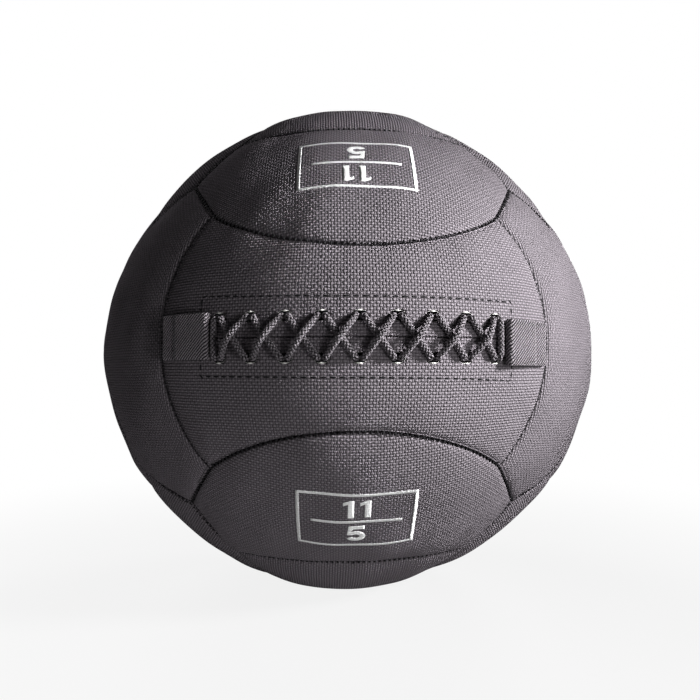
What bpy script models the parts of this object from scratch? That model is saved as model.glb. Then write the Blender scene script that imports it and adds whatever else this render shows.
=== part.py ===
"""A laced soft wall ball, built as separate sewn, laced and filled pieces.

Metres, +Z up. The laced panel faces -Y, and the origin is the middle of the small flat it rests on.
The cover is eighteen panels. Six four-sided strips lie on the faces of an imagined cube, each one's long
way turned a quarter from its neighbours', and twelve six-sided lens panels fill the places between them.
Every place on the cover is a direction from the ball's centre times a radius that the functions below give.
"""

import math

import bmesh
import bpy
import numpy as np
from mathutils import Quaternion, Vector
from mathutils.geometry import intersect_point_line

# The ball as a whole
BALL_DIAMETER = 0.350
BALL_HEIGHT = 0.342
REST_SINK = 0.0026
SHOULDER_DROP = 0.0040
CLEARANCE = 0.0003

# Where the seams run, as angles from a strip's own middle
CORNER_LONGITUDE = math.radians(31.4)
CORNER_LATITUDE = math.radians(24.8)
WAIST_LATITUDE = math.radians(16.3)
END_LONGITUDE = math.radians(39.3)
SIDE_STEPS = 8
NOTCH_STEPS = 2

# The stuffed panels
COVER_THICKNESS = 0.0012
PILLOW_DEPTH = 0.0020
PILLOW_REACH = 0.025
GROOVE_DEPTH = 0.0018
EDGE_BAND = 0.005
SEAM_ALLOWANCE = 0.008
SEAM_GAP_SHARE = 0.6

# The lacing
HOLE_COUNT = 9
HOLE_PITCH = 0.0187
ROW_SPACING = 0.0212
LACE_DIAMETER = 0.0033
LACE_SELF_GAP = 0.0006
LANE_GAP = 0.0012
LACE_BEND_SHARE = 0.8
HOLE_MARGIN = 0.0005
HOLE_HEIGHT = 0.0052
HOLE_END_STEPS = 4
SLIT_HEIGHT = 0.0010
SLIT_OVERRUN = 0.006
CUT_OVERRUN = 0.012
KNOT_DIAMETER = 0.0062
KNOT_OFFSET = 0.008
LACE_SIDES_RESOLUTION = 1
CROSSING_SHARES = (0.3, 0.5, 0.7)
KNOT_SHARES = (0.8, 1.0, 1.2)
NEIGHBOUR_DIAMETERS = 3
MEASURE_STEPS = 4

# The backing patch and the rectangle of stitches that holds it
BOX_LENGTH = 0.174
BOX_HEIGHT = 0.0410
PATCH_MARGIN = 0.004
PATCH_THICKNESS = 0.0010
STITCH_DIAMETER = 0.0008
THREAD_SIDES = 3
BOX_STEPS = 16

# The webbing tabs
TAB_WIDTH = 0.0245
TAB_BEND_LONGITUDE = math.radians(33.3)
TAB_SEAM_SETBACK = 0.0015
TAB_SEWN_THICKNESS = 0.0022
LEFT_FLAP_LENGTH = 0.0221
RIGHT_FLAP_LENGTH = 0.0208
FLAP_THICKNESS = 0.0032
FOLD_THICKNESS = 0.0050
FOLD_LIFT = 0.0015
TAB_STEPS = 4
FOLD_STEPS = 4
TAB_STITCH_SETBACK = 0.0018

# The inner pieces
TURNED_SEGMENTS = 16
LOWER_RINGS = 2
UPPER_RINGS = 3
BAG_STEPS = 4
TIE_SIDES = 8
LINING_THICKNESS = 0.0008
LINING_SLIT_LENGTH = 0.120
LINING_SLIT_HEIGHT = 0.003
NEST_GAP = 0.0004
FOAM_THICKNESS = 0.018
BAG_RADIUS = 0.064
BAG_DROP = 0.050
BAG_RISE = 0.040
BAG_THICKNESS = 0.0010
NECK_RADIUS = 0.011
NECK_HEIGHT = 0.010
RUFFLE_RADIUS = 0.020
RUFFLE_HEIGHT = 0.012
TIE_DIAMETER = 0.004
FILL_SHARE = 0.55

WELD = 0.000001
SHARP_ANGLE = math.radians(40)

BALL_RADIUS = BALL_DIAMETER / 2
HALF_HEIGHT = (BALL_HEIGHT + REST_SINK) / 2
SQUASH_SHARE = HALF_HEIGHT / BALL_RADIUS
CENTRE_HEIGHT = HALF_HEIGHT - REST_SINK
CORNER_ALONG = math.sin(CORNER_LONGITUDE) * math.cos(CORNER_LATITUDE)
CORNER_OUT = math.cos(CORNER_LONGITUDE) * math.cos(CORNER_LATITUDE)
CORNER_ACROSS = math.sin(CORNER_LATITUDE)
MEETING = Vector((1, 1, 1)).normalized()

LACE_RADIUS = LACE_DIAMETER / 2
LACE_BEND = LACE_DIAMETER * LACE_BEND_SHARE
LANE = LACE_RADIUS + LANE_GAP / 2
HOLE_WIDTH = 2 * (LANE + LACE_RADIUS + HOLE_MARGIN)
FACET_SAG = BALL_RADIUS * (1 - math.cos(END_LONGITUDE / SIDE_STEPS))
LACE_LOW = LACE_RADIUS + 2 * CLEARANCE
LACE_HIGH = LACE_LOW + LACE_DIAMETER + LACE_SELF_GAP
PATCH_LIFT = -(COVER_THICKNESS + CLEARANCE)
PATCH_INNER_LIFT = PATCH_LIFT - PATCH_THICKNESS - FACET_SAG
LACE_SHALLOW = PATCH_INNER_LIFT - LACE_LOW
LACE_DEEP = LACE_SHALLOW - LACE_DIAMETER - LACE_SELF_GAP
QUARTER_TURN_SHARES = [(1 - math.cos(turn), math.sin(turn)) for turn in (0, math.pi / 4, math.pi / 2)]

X = Vector((1, 0, 0))
Y = Vector((0, 1, 0))
Z = Vector((0, 0, 1))

STRIPS = {
    "front_laced_panel": (-Y, Z),
    "rear_strip_panel": (Y, Z),
    "right_strip_panel": (X, Y),
    "left_strip_panel": (-X, Y),
    "top_strip_panel": (Z, X),
    "bottom_strip_panel": (-Z, X),
}

LENSES = {
    "front_upper_lens_panel": (-Y, Z),
    "front_lower_lens_panel": (-Y, -Z),
    "rear_upper_lens_panel": (Y, Z),
    "rear_lower_lens_panel": (Y, -Z),
    "right_front_lens_panel": (X, -Y),
    "right_rear_lens_panel": (X, Y),
    "left_front_lens_panel": (-X, -Y),
    "left_rear_lens_panel": (-X, Y),
    "top_right_lens_panel": (Z, X),
    "top_left_lens_panel": (Z, -X),
    "bottom_right_lens_panel": (-Z, X),
    "bottom_left_lens_panel": (-Z, -X),
}

FINISHES = {
    "cover_fabric": ((0.155, 0.143, 0.157), 0.85, 0.0),
    "tab_webbing": ((0.140, 0.135, 0.143), 0.80, 0.0),
    "lace_cord": ((0.105, 0.102, 0.107), 0.80, 0.0),
    "thread": ((0.020, 0.020, 0.022), 0.70, 0.0),
    "backing_fabric": ((0.060, 0.060, 0.064), 0.85, 0.0),
    "lining_fabric": ((0.30, 0.30, 0.31), 0.80, 0.0),
    "foam": ((0.62, 0.62, 0.58), 0.90, 0.0),
    "wadding": ((0.42, 0.42, 0.44), 0.95, 0.0),
    "calico": ((0.72, 0.68, 0.58), 0.90, 0.0),
    "tie_cord": ((0.80, 0.80, 0.78), 0.85, 0.0),
    "granules": ((0.20, 0.18, 0.17), 0.60, 0.0),
}


def clear_scene():
    """Removes every object that the file opened with."""
    for thing in list(bpy.data.objects):
        bpy.data.objects.remove(thing, do_unlink=True)


def make_materials():
    """One Principled material for each finish."""
    made = {}
    for name, (colour, roughness, metallic) in FINISHES.items():
        material = bpy.data.materials.new(name)
        material.use_nodes = True
        shader = material.node_tree.nodes["Principled BSDF"]
        shader.inputs["Base Color"].default_value = (*colour, 1.0)
        shader.inputs["Roughness"].default_value = roughness
        shader.inputs["Metallic"].default_value = metallic
        made[name] = material
    return made


def make_empty(name, place, parent=None):
    """An empty that holds pieces, at a place given from its parent."""
    empty = bpy.data.objects.new(name, None)
    bpy.context.scene.collection.objects.link(empty)
    empty.location = place
    empty.parent = parent
    return empty


def make_piece(name, mesh, material, parent):
    """An object for a finished bmesh, shaded smooth except at its sharp folds."""
    data = bpy.data.meshes.new(name)
    mesh.to_mesh(data)
    mesh.free()
    data.shade_smooth()
    data.set_sharp_from_angle(angle=SHARP_ANGLE)
    data.materials.append(material)
    piece = bpy.data.objects.new(name, data)
    bpy.context.scene.collection.objects.link(piece)
    piece.parent = parent
    return piece


def thicken(piece, thickness):
    """Gives a sheet its wall on the side away from its faces' normals."""
    wall = piece.modifiers.new("wall", "SOLIDIFY")
    wall.thickness = thickness
    wall.offset = -1
    wall.use_even_offset = True


def cut(piece, cutter):
    """Takes a cutter away from a piece."""
    boolean = piece.modifiers.new(cutter.name, "BOOLEAN")
    boolean.operation = "DIFFERENCE"
    boolean.solver = "EXACT"
    boolean.object = cutter


def make_cutter(name, mesh, parent):
    """A hidden object that others are cut with."""
    data = bpy.data.meshes.new(name)
    mesh.to_mesh(data)
    mesh.free()
    cutter = bpy.data.objects.new(name, data)
    bpy.context.scene.collection.objects.link(cutter)
    cutter.parent = parent
    cutter.hide_render = True
    cutter.display_type = "WIRE"
    return cutter


def boxiness(direction):
    """Nought on the three axes, one half way between two of them, and a third more at the eight corners."""
    return 2 * (1 - sum(part ** 4 for part in direction))


def skin_radius(direction, seam_distance):
    """The cover's outer radius: round, lower at the shoulders, and drawn in towards each seam."""
    pillow = PILLOW_DEPTH * max(0, 1 - seam_distance / PILLOW_REACH) ** 2
    groove = GROOVE_DEPTH * max(0, 1 - seam_distance / EDGE_BAND) ** 2
    return BALL_RADIUS - SHOULDER_DROP * boxiness(direction) - pillow - groove


def place(direction, radius):
    """A point at a radius from the ball's centre, on the slightly flattened ball."""
    return Vector((direction.x * radius, direction.y * radius, direction.z * radius * SQUASH_SHARE))


def facing(longitude, latitude):
    """The direction at a longitude to the right of the front panel's middle and a latitude above it."""
    level = math.cos(latitude)
    return Vector((math.sin(longitude) * level, -math.cos(longitude) * level, math.sin(latitude)))


def on_front(longitude, latitude, lift):
    """A point over the front panel, clear of its seams, at a height above its outer face."""
    direction = facing(longitude, latitude)
    return place(direction, skin_radius(direction, PILLOW_REACH) + lift)


def straight_arc(start, end, steps):
    """Directions along a great circle."""
    return [start.lerp(end, i / steps).normalized() for i in range(steps + 1)]


def bowed_arc(start, middle, end, steps):
    """Directions along the circle on the ball that passes through three directions."""
    axis = (middle - start).cross(end - start).normalized()
    centre = axis * axis.dot(start)
    arm = start - centre
    turn = arm.angle(end - centre)
    return [centre + Quaternion(axis, turn * i / steps) @ arm for i in range(steps + 1)]


def strip_sides(normal, across):
    """The four sides of a strip: its two bowed-in long sides and its two bowed-out ends."""
    along = across.cross(normal)

    def corner(end, side):
        return along * end * CORNER_ALONG + normal * CORNER_OUT + across * side * CORNER_ACROSS

    def waist(side):
        return normal * math.cos(WAIST_LATITUDE) + across * side * math.sin(WAIST_LATITUDE)

    def tip(end):
        return normal * math.cos(END_LONGITUDE) + along * end * math.sin(END_LONGITUDE)

    bottom = bowed_arc(corner(-1, -1), waist(-1), corner(1, -1), SIDE_STEPS)
    top = bowed_arc(corner(-1, 1), waist(1), corner(1, 1), SIDE_STEPS)
    left = bowed_arc(corner(-1, -1), tip(-1), corner(-1, 1), SIDE_STEPS)
    right = bowed_arc(corner(1, -1), tip(1), corner(1, 1), SIDE_STEPS)
    return bottom, right, top, left


def lens_sides(normal, across):
    """The sides of the lens panel between one strip's long side and the next strip's end."""
    along = across.cross(normal)

    def low(end):
        return along * end * CORNER_ALONG + normal * CORNER_OUT + across * CORNER_ACROSS

    def meeting(end):
        return (along * end + normal + across).normalized()

    def high(end):
        return along * end * CORNER_ACROSS + normal * CORNER_ALONG + across * CORNER_OUT

    def notched_side(end):
        lower = straight_arc(low(end), meeting(end), NOTCH_STEPS)
        upper = straight_arc(meeting(end), high(end), NOTCH_STEPS)
        return lower + upper[1:]

    waist = normal * math.cos(WAIST_LATITUDE) + across * math.sin(WAIST_LATITUDE)
    tip = across * math.cos(END_LONGITUDE) + normal * math.sin(END_LONGITUDE)
    bottom = bowed_arc(low(-1), waist, low(1), SIDE_STEPS)
    top = bowed_arc(high(-1), tip, high(1), SIDE_STEPS)
    return bottom, notched_side(1), top, notched_side(-1)


def closed_seam(sides):
    """The panel's whole outline, once round, anticlockwise as seen from outside."""
    bottom, right, top, left = sides
    return bottom[:-1] + right[:-1] + top[:0:-1] + left[:0:-1]


def inset(seam, distance):
    """An outline moved inwards along the ball, with mitred corners."""
    moved = []
    for i, here in enumerate(seam):
        before = seam[i - 1].cross(here).normalized()
        after = here.cross(seam[(i + 1) % len(seam)]).normalized()
        reach = distance / BALL_RADIUS / (1 + before.dot(after))
        moved.append((here + (before + after) * reach).normalized())
    return moved


def seam_distance(direction, seam):
    """How far a direction lies from the nearest stretch of an outline, along the ball."""
    least = math.inf
    for i, end in enumerate(seam):
        near, share = intersect_point_line(direction, seam[i - 1], end)
        if share < 0:
            near = seam[i - 1]
        if share > 1:
            near = end
        least = min(least, (direction - near).length)
    return least * BALL_RADIUS


def grid_directions(outline, columns, rows):
    """Directions that fill a four-sided outline, row by row, blended from its sides."""
    bottom = outline[:columns + 1]
    right = outline[columns:columns + rows + 1]
    top = outline[columns + rows:2 * columns + rows + 1][::-1]
    left = (outline[2 * columns + rows:] + outline[:1])[::-1]
    grid = []
    for j in range(rows + 1):
        v = j / rows
        row = []
        for i in range(columns + 1):
            u = i / columns
            sides = bottom[i] * (1 - v) + top[i] * v + left[j] * (1 - u) + right[j] * u
            lower = bottom[0] * (1 - u) + bottom[-1] * u
            upper = top[0] * (1 - u) + top[-1] * u
            row.append((sides - lower * (1 - v) - upper * v).normalized())
        grid.append(row)
    return grid


def face_sheet(sides, lift):
    """The open middle of a panel as a sheet at a lift from the outer face, its seam and its rim in order."""
    columns = len(sides[0]) - 1
    rows = len(sides[1]) - 1
    seam = closed_seam(sides)
    outline = inset(seam, EDGE_BAND)
    mesh = bmesh.new()
    vertices = []
    for row in grid_directions(outline, columns, rows):
        radii = [skin_radius(direction, seam_distance(direction, seam)) + lift for direction in row]
        vertices.append([mesh.verts.new(place(*pair)) for pair in zip(row, radii)])
    for low, high in zip(vertices, vertices[1:]):
        for i in range(columns):
            mesh.faces.new((low[i], low[i + 1], high[i + 1], high[i]))
    right_side = [row[-1] for row in vertices]
    left_side = [row[0] for row in vertices]
    rim = vertices[0][:-1] + right_side[:-1] + vertices[-1][:0:-1] + left_side[:0:-1]
    return mesh, seam, rim


def join_loops(mesh, outer, inner):
    """Faces between an outer loop of vertices and the loop inside it."""
    for i in range(len(outer)):
        after = (i + 1) % len(outer)
        mesh.faces.new((outer[i], outer[after], inner[after], inner[i]))


def panel_sheet(sides):
    """A panel's outer skin: its crowned face, the rounded band at its seam and the allowance turned in."""
    mesh, seam, rim = face_sheet(sides, 0)
    fold = inset(seam, CLEARANCE * SEAM_GAP_SHARE)
    fold_vertices = [mesh.verts.new(place(d, skin_radius(d, 0))) for d in fold]
    edge_vertices = [mesh.verts.new(place(d, skin_radius(d, 0) - SEAM_ALLOWANCE)) for d in fold]
    join_loops(mesh, fold_vertices, rim)
    join_loops(mesh, edge_vertices, fold_vertices)
    return mesh


def press_flat(mesh):
    """Replaces what lies below the resting plane with one flat face."""
    whole = mesh.verts[:] + mesh.edges[:] + mesh.faces[:]
    cut_out = bmesh.ops.bisect_plane(
        mesh,
        geom=whole,
        dist=WELD,
        plane_co=(0, 0, -CENTRE_HEIGHT),
        plane_no=Z,
        clear_inner=True,
    )
    rim = [part for part in cut_out["geom_cut"] if isinstance(part, bmesh.types.BMEdge)]
    filled = bmesh.ops.edgeloop_fill(mesh, edges=rim)
    for face in filled["faces"]:
        face.normal_update()
        if face.normal.z > 0:
            face.normal_flip()


def make_cover(ball, material):
    """The eighteen cover panels, by name."""
    panels = {}
    for names, sides_of in ((STRIPS, strip_sides), (LENSES, lens_sides)):
        for name, axes in names.items():
            mesh = panel_sheet(sides_of(*axes))
            if name == "bottom_strip_panel":
                press_flat(mesh)
            panels[name] = make_piece(name, mesh, material, ball)
            thicken(panels[name], COVER_THICKNESS)
    return panels


def extrude_outline(mesh, low_points, high_points):
    """A closed prism between two like outlines."""
    low = [mesh.verts.new(point) for point in low_points]
    high = [mesh.verts.new(point) for point in high_points]
    caps = [mesh.faces.new(low[::-1]), mesh.faces.new(high)]
    walls = []
    for i in range(len(low)):
        walls.append(mesh.faces.new((low[i - 1], low[i], high[i], high[i - 1])))
    bmesh.ops.recalc_face_normals(mesh, faces=caps + walls)


def hole_longitude(column):
    """The longitude of a column of holes."""
    return (column - (HOLE_COUNT - 1) / 2) * HOLE_PITCH / BALL_RADIUS


def row_latitude(row):
    """The latitude of the upper row of holes, at 1, or the lower one, at -1."""
    return row * ROW_SPACING / 2 / BALL_RADIUS


def slot_outline():
    """One hole's outline, side to side and up and down from its middle."""
    half = HOLE_HEIGHT / 2
    straight = HOLE_WIDTH / 2 - half
    points = []
    for side in (1, -1):
        for i in range(HOLE_END_STEPS + 1):
            angle = math.pi * (i / HOLE_END_STEPS - 1 / 2)
            points.append((side * (straight + half * math.cos(angle)), side * half * math.sin(angle)))
    return points


def make_hole_cutter(ball):
    """All the lace holes as one cutter of separate plugs, each along its own radius."""
    mesh = bmesh.new()
    for column in range(HOLE_COUNT):
        for row in (1, -1):
            out = facing(hole_longitude(column), row_latitude(row))
            right = Z.cross(out).normalized()
            up = out.cross(right)
            middle = place(out, skin_radius(out, PILLOW_REACH))
            rim = [middle + right * across + up * rise for across, rise in slot_outline()]
            low = [point - out * CUT_OVERRUN for point in rim]
            high = [point + out * CUT_OVERRUN for point in rim]
            extrude_outline(mesh, low, high)
    return make_cutter("hole_cutter", mesh, ball)


def make_slit_cutter(name, ball, length, height):
    """A flat cutter for a slit across the front, deep enough to pass the wall at its ends."""
    mesh = bmesh.new()
    turn = length / 2 / BALL_RADIUS
    half = math.sin(turn) * BALL_RADIUS
    near = -BALL_RADIUS - CUT_OVERRUN
    far = -math.cos(turn) * BALL_RADIUS + 2 * CUT_OVERRUN
    outline = [(-half, near), (half, near), (half, far), (-half, far)]
    low = [Vector((x, y, -height / 2)) for x, y in outline]
    high = [Vector((x, y, height / 2)) for x, y in outline]
    extrude_outline(mesh, low, high)
    return make_cutter(name, mesh, ball)


def make_backing_patch(ball, material):
    """The patch behind the slit: the front panel's own sheet, set inside it and trimmed to a rectangle."""
    mesh, _, _ = face_sheet(strip_sides(*STRIPS["front_laced_panel"]), PATCH_LIFT)
    half_length = math.sin((BOX_LENGTH / 2 + PATCH_MARGIN) / BALL_RADIUS) * BALL_RADIUS
    half_height = BOX_HEIGHT / 2 + PATCH_MARGIN
    for side, reach in ((X, half_length), (-X, half_length), (Z, half_height), (-Z, half_height)):
        whole = mesh.verts[:] + mesh.edges[:] + mesh.faces[:]
        bmesh.ops.bisect_plane(
            mesh,
            geom=whole,
            dist=WELD,
            plane_co=side * reach,
            plane_no=side,
            clear_outer=True,
        )
    patch = make_piece("lacing_backing_patch", mesh, material, ball)
    thicken(patch, PATCH_THICKNESS)
    return patch


def lace_spot(column, row, lane):
    """Longitude and latitude of one lane of a hole: lane -1 is its left side and 1 its right side."""
    return hole_longitude(column) + lane * LANE / BALL_RADIUS, row_latitude(row)


def lace_strand(start, end, level, crossing_level):
    """A run of lace from hole to hole: round the edge of one, over the middle and round the other's.

    The levels are heights of the cord's middle over the cover's outer face, negative inside the ball.
    """
    inward = -1 if level < 0 else 1
    first = Vector(start)
    last = Vector(end)
    span = last - first
    bend = LACE_BEND / BALL_RADIUS / span.length
    rise = crossing_level - level
    turn = [(bend * along, level - inward * LACE_BEND * (1 - up)) for along, up in QUARTER_TURN_SHARES]
    middle = CROSSING_SHARES if rise else (1 / 2,)
    stops = turn + [(share, level + rise * math.sin(math.pi * share) ** 2) for share in middle]
    stops += [(1 - share, lift) for share, lift in turn[::-1]]
    return [on_front(*(first + span * share), lift) for share, lift in stops]


def lace_tail(hole, side, row):
    """The cord's end inside the ball: round the hole's edge, then aside to its knot."""
    level = LACE_SHALLOW - (KNOT_DIAMETER - LACE_DIAMETER) / 2
    spot = Vector(hole)
    bend = LACE_BEND / BALL_RADIUS
    toward_slit = Vector((0, -row))
    aside = Vector((side, -row)).normalized()
    landing = spot + toward_slit * bend
    to_knot = aside * KNOT_OFFSET / BALL_RADIUS
    places = []
    for along, up in QUARTER_TURN_SHARES:
        places.append((spot + toward_slit * bend * along, LACE_SHALLOW + LACE_BEND * (1 - up)))
    places.append((landing + to_knot / 2, level))
    knotted = [(landing + to_knot * share, level) for share in KNOT_SHARES]
    return [on_front(*at, lift) for at, lift in places], [on_front(*at, lift) for at, lift in knotted]


def lace_route():
    """The whole cord: every falling strand, across at the right end, then every rising strand over them."""
    last = HOLE_COUNT - 1
    tail, knot = lace_tail(lace_spot(0, 1, -1), -1, 1)
    route = knot[::-1] + tail[::-1]
    route += lace_strand(lace_spot(0, 1, -1), lace_spot(0, -1, -1), LACE_LOW, LACE_LOW)
    for column in range(last):
        route += lace_strand(lace_spot(column, -1, -1), lace_spot(column, 1, 1), LACE_SHALLOW, LACE_SHALLOW)
        route += lace_strand(lace_spot(column, 1, 1), lace_spot(column + 1, -1, -1), LACE_LOW, LACE_LOW)
    route += lace_strand(lace_spot(last, -1, -1), lace_spot(last, 1, 1), LACE_SHALLOW, LACE_SHALLOW)
    route += lace_strand(lace_spot(last, 1, 1), lace_spot(last, -1, 1), LACE_LOW, LACE_LOW)
    for column in range(last, 0, -1):
        route += lace_strand(lace_spot(column, -1, 1), lace_spot(column, 1, -1), LACE_DEEP, LACE_DEEP)
        route += lace_strand(lace_spot(column, 1, -1), lace_spot(column - 1, -1, 1), LACE_LOW, LACE_HIGH)
    tail, knot = lace_tail(lace_spot(0, -1, 1), 1, -1)
    return route + tail + knot, len(knot)


def report_lace(route):
    """Prints the cord's length and the least gap that it keeps to itself."""
    points = np.array([tuple(point) for point in route])
    steps = np.linspace(0, 1, MEASURE_STEPS + 1)[:-1, None]
    fine = np.concatenate([a + (b - a) * steps for a, b in zip(points, points[1:])])
    travelled = np.concatenate([[0], np.cumsum(np.linalg.norm(np.diff(fine, axis=0), axis=1))])
    apart = np.linalg.norm(fine[:, None] - fine[None], axis=2)
    along = np.abs(travelled[:, None] - travelled[None])
    least = apart[along > NEIGHBOUR_DIAMETERS * LACE_DIAMETER].min() - LACE_DIAMETER
    print(f"closing lace: {travelled[-1]:.3f} m long, least gap to itself {least * 1000:.2f} mm")


def make_lace(ball, material):
    """The closing lace as one tube, thicker at its two end knots."""
    route, knot_points = lace_route()
    report_lace(route)
    data = bpy.data.curves.new("closing_lace", "CURVE")
    data.dimensions = "3D"
    data.bevel_depth = LACE_RADIUS
    data.bevel_resolution = LACE_SIDES_RESOLUTION
    data.use_fill_caps = True
    spline = data.splines.new("POLY")
    spline.points.add(len(route) - 1)
    for i, point in enumerate(route):
        spline.points[i].co = (*point, 1)
        from_end = min(i, len(route) - 1 - i)
        spline.points[i].radius = KNOT_DIAMETER / LACE_DIAMETER if 0 < from_end < knot_points else 1
    data.materials.append(material)
    lace = bpy.data.objects.new("closing_lace", data)
    bpy.context.scene.collection.objects.link(lace)
    lace.parent = ball
    return lace


def thread_section(point, out, aside):
    """The corners of a thread at a point, one of them outermost."""
    radius = STITCH_DIAMETER / 2
    angles = [math.pi * (1 / 2 + 2 * k / THREAD_SIDES) for k in range(THREAD_SIDES)]
    return [point + aside * radius * math.cos(a) + out * radius * math.sin(a) for a in angles]


def make_box_stitching(ball, material):
    """The thread of the rectangle of stitches round the lacing, one closed run."""
    half_turn = BOX_LENGTH / 2 / BALL_RADIUS
    half_rise = BOX_HEIGHT / 2 / BALL_RADIUS
    lift = CLEARANCE + STITCH_DIAMETER / 2
    across = [half_turn * (2 * i / BOX_STEPS - 1) for i in range(BOX_STEPS)]
    spots = [(a, -half_rise) for a in across] + [(half_turn, -half_rise), (half_turn, 0)]
    spots += [(-a, half_rise) for a in across] + [(-half_turn, half_rise), (-half_turn, 0)]
    places = [on_front(*spot, lift) for spot in spots]
    mesh = bmesh.new()
    rings = []
    for i, spot in enumerate(spots):
        before = (places[i] - places[i - 1]).normalized()
        after = (places[(i + 1) % len(places)] - places[i]).normalized()
        out = facing(*spot)
        aside = out.cross(before + after).normalized()
        mitre = aside / aside.dot(out.cross(after).normalized())
        rings.append([mesh.verts.new(corner) for corner in thread_section(places[i], out, mitre)])
    for i, ring in enumerate(rings):
        join_loops(mesh, rings[i - 1], ring)
    bmesh.ops.recalc_face_normals(mesh, faces=mesh.faces[:])
    return make_piece("lacing_box_stitching", mesh, material, ball)


def tab_skin(longitude):
    """The cover's outer radius on the level line through a tab, near the end seam."""
    return skin_radius(facing(longitude, 0), (END_LONGITUDE - longitude) * BALL_RADIUS)


def plan_point(side, longitude, radius):
    """A point seen from above, at a longitude to one side of the front's middle."""
    return Vector((side * math.sin(longitude) * radius, -math.cos(longitude) * radius, 0))


def extrude_plan(mesh, outline, origin):
    """A piece of webbing: an outline seen from above, as tall as the webbing is wide."""
    half = Z * (TAB_WIDTH / 2)
    low = [point - origin - half for point in outline]
    high = [point - origin + half for point in outline]
    extrude_outline(mesh, low, high)


def make_sewn_end(name, side, ball, material):
    """The part of a tab between its side seam and its row of stitches."""
    first = END_LONGITUDE - TAB_SEAM_SETBACK / BALL_RADIUS
    last = TAB_BEND_LONGITUDE + (FLAP_THICKNESS / 2 + CLEARANCE) / BALL_RADIUS
    longitudes = [first + (last - first) * i / TAB_STEPS for i in range(TAB_STEPS + 1)]
    under = [plan_point(side, a, tab_skin(a) + CLEARANCE) for a in longitudes]
    over = [plan_point(side, a, tab_skin(a) + CLEARANCE + TAB_SEWN_THICKNESS) for a in longitudes]
    mesh = bmesh.new()
    extrude_plan(mesh, under + over[::-1], Vector())
    return make_piece(name, mesh, material, ball)


def bend_axis(side):
    """The middle of the line about which a flap bends."""
    radius = tab_skin(TAB_BEND_LONGITUDE) + CLEARANCE + FLAP_THICKNESS / 2
    return plan_point(side, TAB_BEND_LONGITUDE, radius)


def make_flap(name, side, length, ball, material):
    """The free folded end of a tab, on an empty that stands on its bending line."""
    axis = bend_axis(side)
    bend = FLAP_THICKNESS / 2
    fold = FOLD_THICKNESS / 2
    fold_reach = length - fold
    root_radius = tab_skin(TAB_BEND_LONGITUDE) + CLEARANCE + bend

    def over_skin(reach, lift):
        longitude = TAB_BEND_LONGITUDE - reach / root_radius
        return plan_point(side, longitude, tab_skin(longitude) + lift)

    outline = []
    for i in range(FOLD_STEPS + 1):
        angle = math.pi * (i / FOLD_STEPS - 1 / 2)
        longitude = TAB_BEND_LONGITUDE + bend * math.cos(angle) / root_radius
        outline.append(plan_point(side, longitude, root_radius + bend * math.sin(angle)))
    shares = [i / TAB_STEPS for i in range(1, TAB_STEPS + 1)]
    lifts = [CLEARANCE + (FOLD_LIFT - CLEARANCE) * share for share in shares]
    for share, lift in zip(shares, lifts):
        thickness = FLAP_THICKNESS + (FOLD_THICKNESS - FLAP_THICKNESS) * share
        outline.append(over_skin(fold_reach * share, lift + thickness))
    for i in range(1, FOLD_STEPS):
        angle = math.pi * (1 / 2 - i / FOLD_STEPS)
        reach = fold_reach + fold * math.cos(angle)
        outline.append(over_skin(reach, FOLD_LIFT + fold + fold * math.sin(angle)))
    for share, lift in zip(shares[::-1], lifts[::-1]):
        outline.append(over_skin(fold_reach * share, lift))
    mesh = bmesh.new()
    extrude_plan(mesh, outline, axis)
    hinge = make_empty(name + "_bend", axis, ball)
    return make_piece(name, mesh, material, hinge)


def make_tab_stitching(name, side, ball, material):
    """The row of stitches that holds a tab's sewn end down."""
    longitude = TAB_BEND_LONGITUDE + (FLAP_THICKNESS / 2 + CLEARANCE + TAB_STITCH_SETBACK) / BALL_RADIUS
    radius = tab_skin(longitude) + CLEARANCE + TAB_SEWN_THICKNESS + CLEARANCE + STITCH_DIAMETER / 2
    middle = plan_point(side, longitude, radius)
    out = middle.normalized()
    half = Z * (TAB_WIDTH / 2)
    ends = [thread_section(end, out, out.cross(Z)) for end in (middle - half, middle + half)]
    mesh = bmesh.new()
    extrude_outline(mesh, *ends)
    return make_piece(name, mesh, material, ball)


def lathe(mesh, outline, closed=False):
    """Turns an outline of (radius, height) points round the vertical axis.

    The outline runs anticlockwise, with radius to the right and height up. Unless closed, it starts and ends
    on the axis.
    """
    rings = []
    for radius, height in outline:
        if radius == 0:
            rings.append([mesh.verts.new((0, 0, height))])
            continue
        angles = [2 * math.pi * k / TURNED_SEGMENTS for k in range(TURNED_SEGMENTS)]
        rings.append([mesh.verts.new((radius * math.cos(a), radius * math.sin(a), height)) for a in angles])
    pairs = list(zip(rings, rings[1:]))
    if closed:
        pairs.append((rings[-1], rings[0]))
    for low, high in pairs:
        if len(low) == len(high) == 1:
            continue
        for k in range(TURNED_SEGMENTS):
            after = (k + 1) % TURNED_SEGMENTS
            corners = [low[k % len(low)], low[after % len(low)], high[after % len(high)], high[k % len(high)]]
            mesh.faces.new(list(dict.fromkeys(corners)))


def upper_elevations():
    """Elevations of a turned shell's rings, one of them through the corners where three seams meet."""
    meeting = math.asin(MEETING.z)
    above = math.pi / 2 - meeting
    lower = [meeting * i / LOWER_RINGS for i in range(LOWER_RINGS + 1)]
    upper = [meeting + above * i / UPPER_RINGS for i in range(1, UPPER_RINGS + 1)]
    return lower + upper


def meridian(radius, sign, lift=0):
    """Outline points from the equator to one pole of a flattened ball, moved up by a lift."""
    points = []
    for elevation in upper_elevations():
        across = radius * math.cos(elevation) if elevation < math.pi / 2 else 0
        points.append((across, sign * radius * math.sin(elevation) * SQUASH_SHARE + lift))
    return points


def lining_radius():
    """The lining bag's radius: it meets the seam allowances at the eight corners."""
    return skin_radius(MEETING, 0) - SEAM_ALLOWANCE - CLEARANCE


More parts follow.
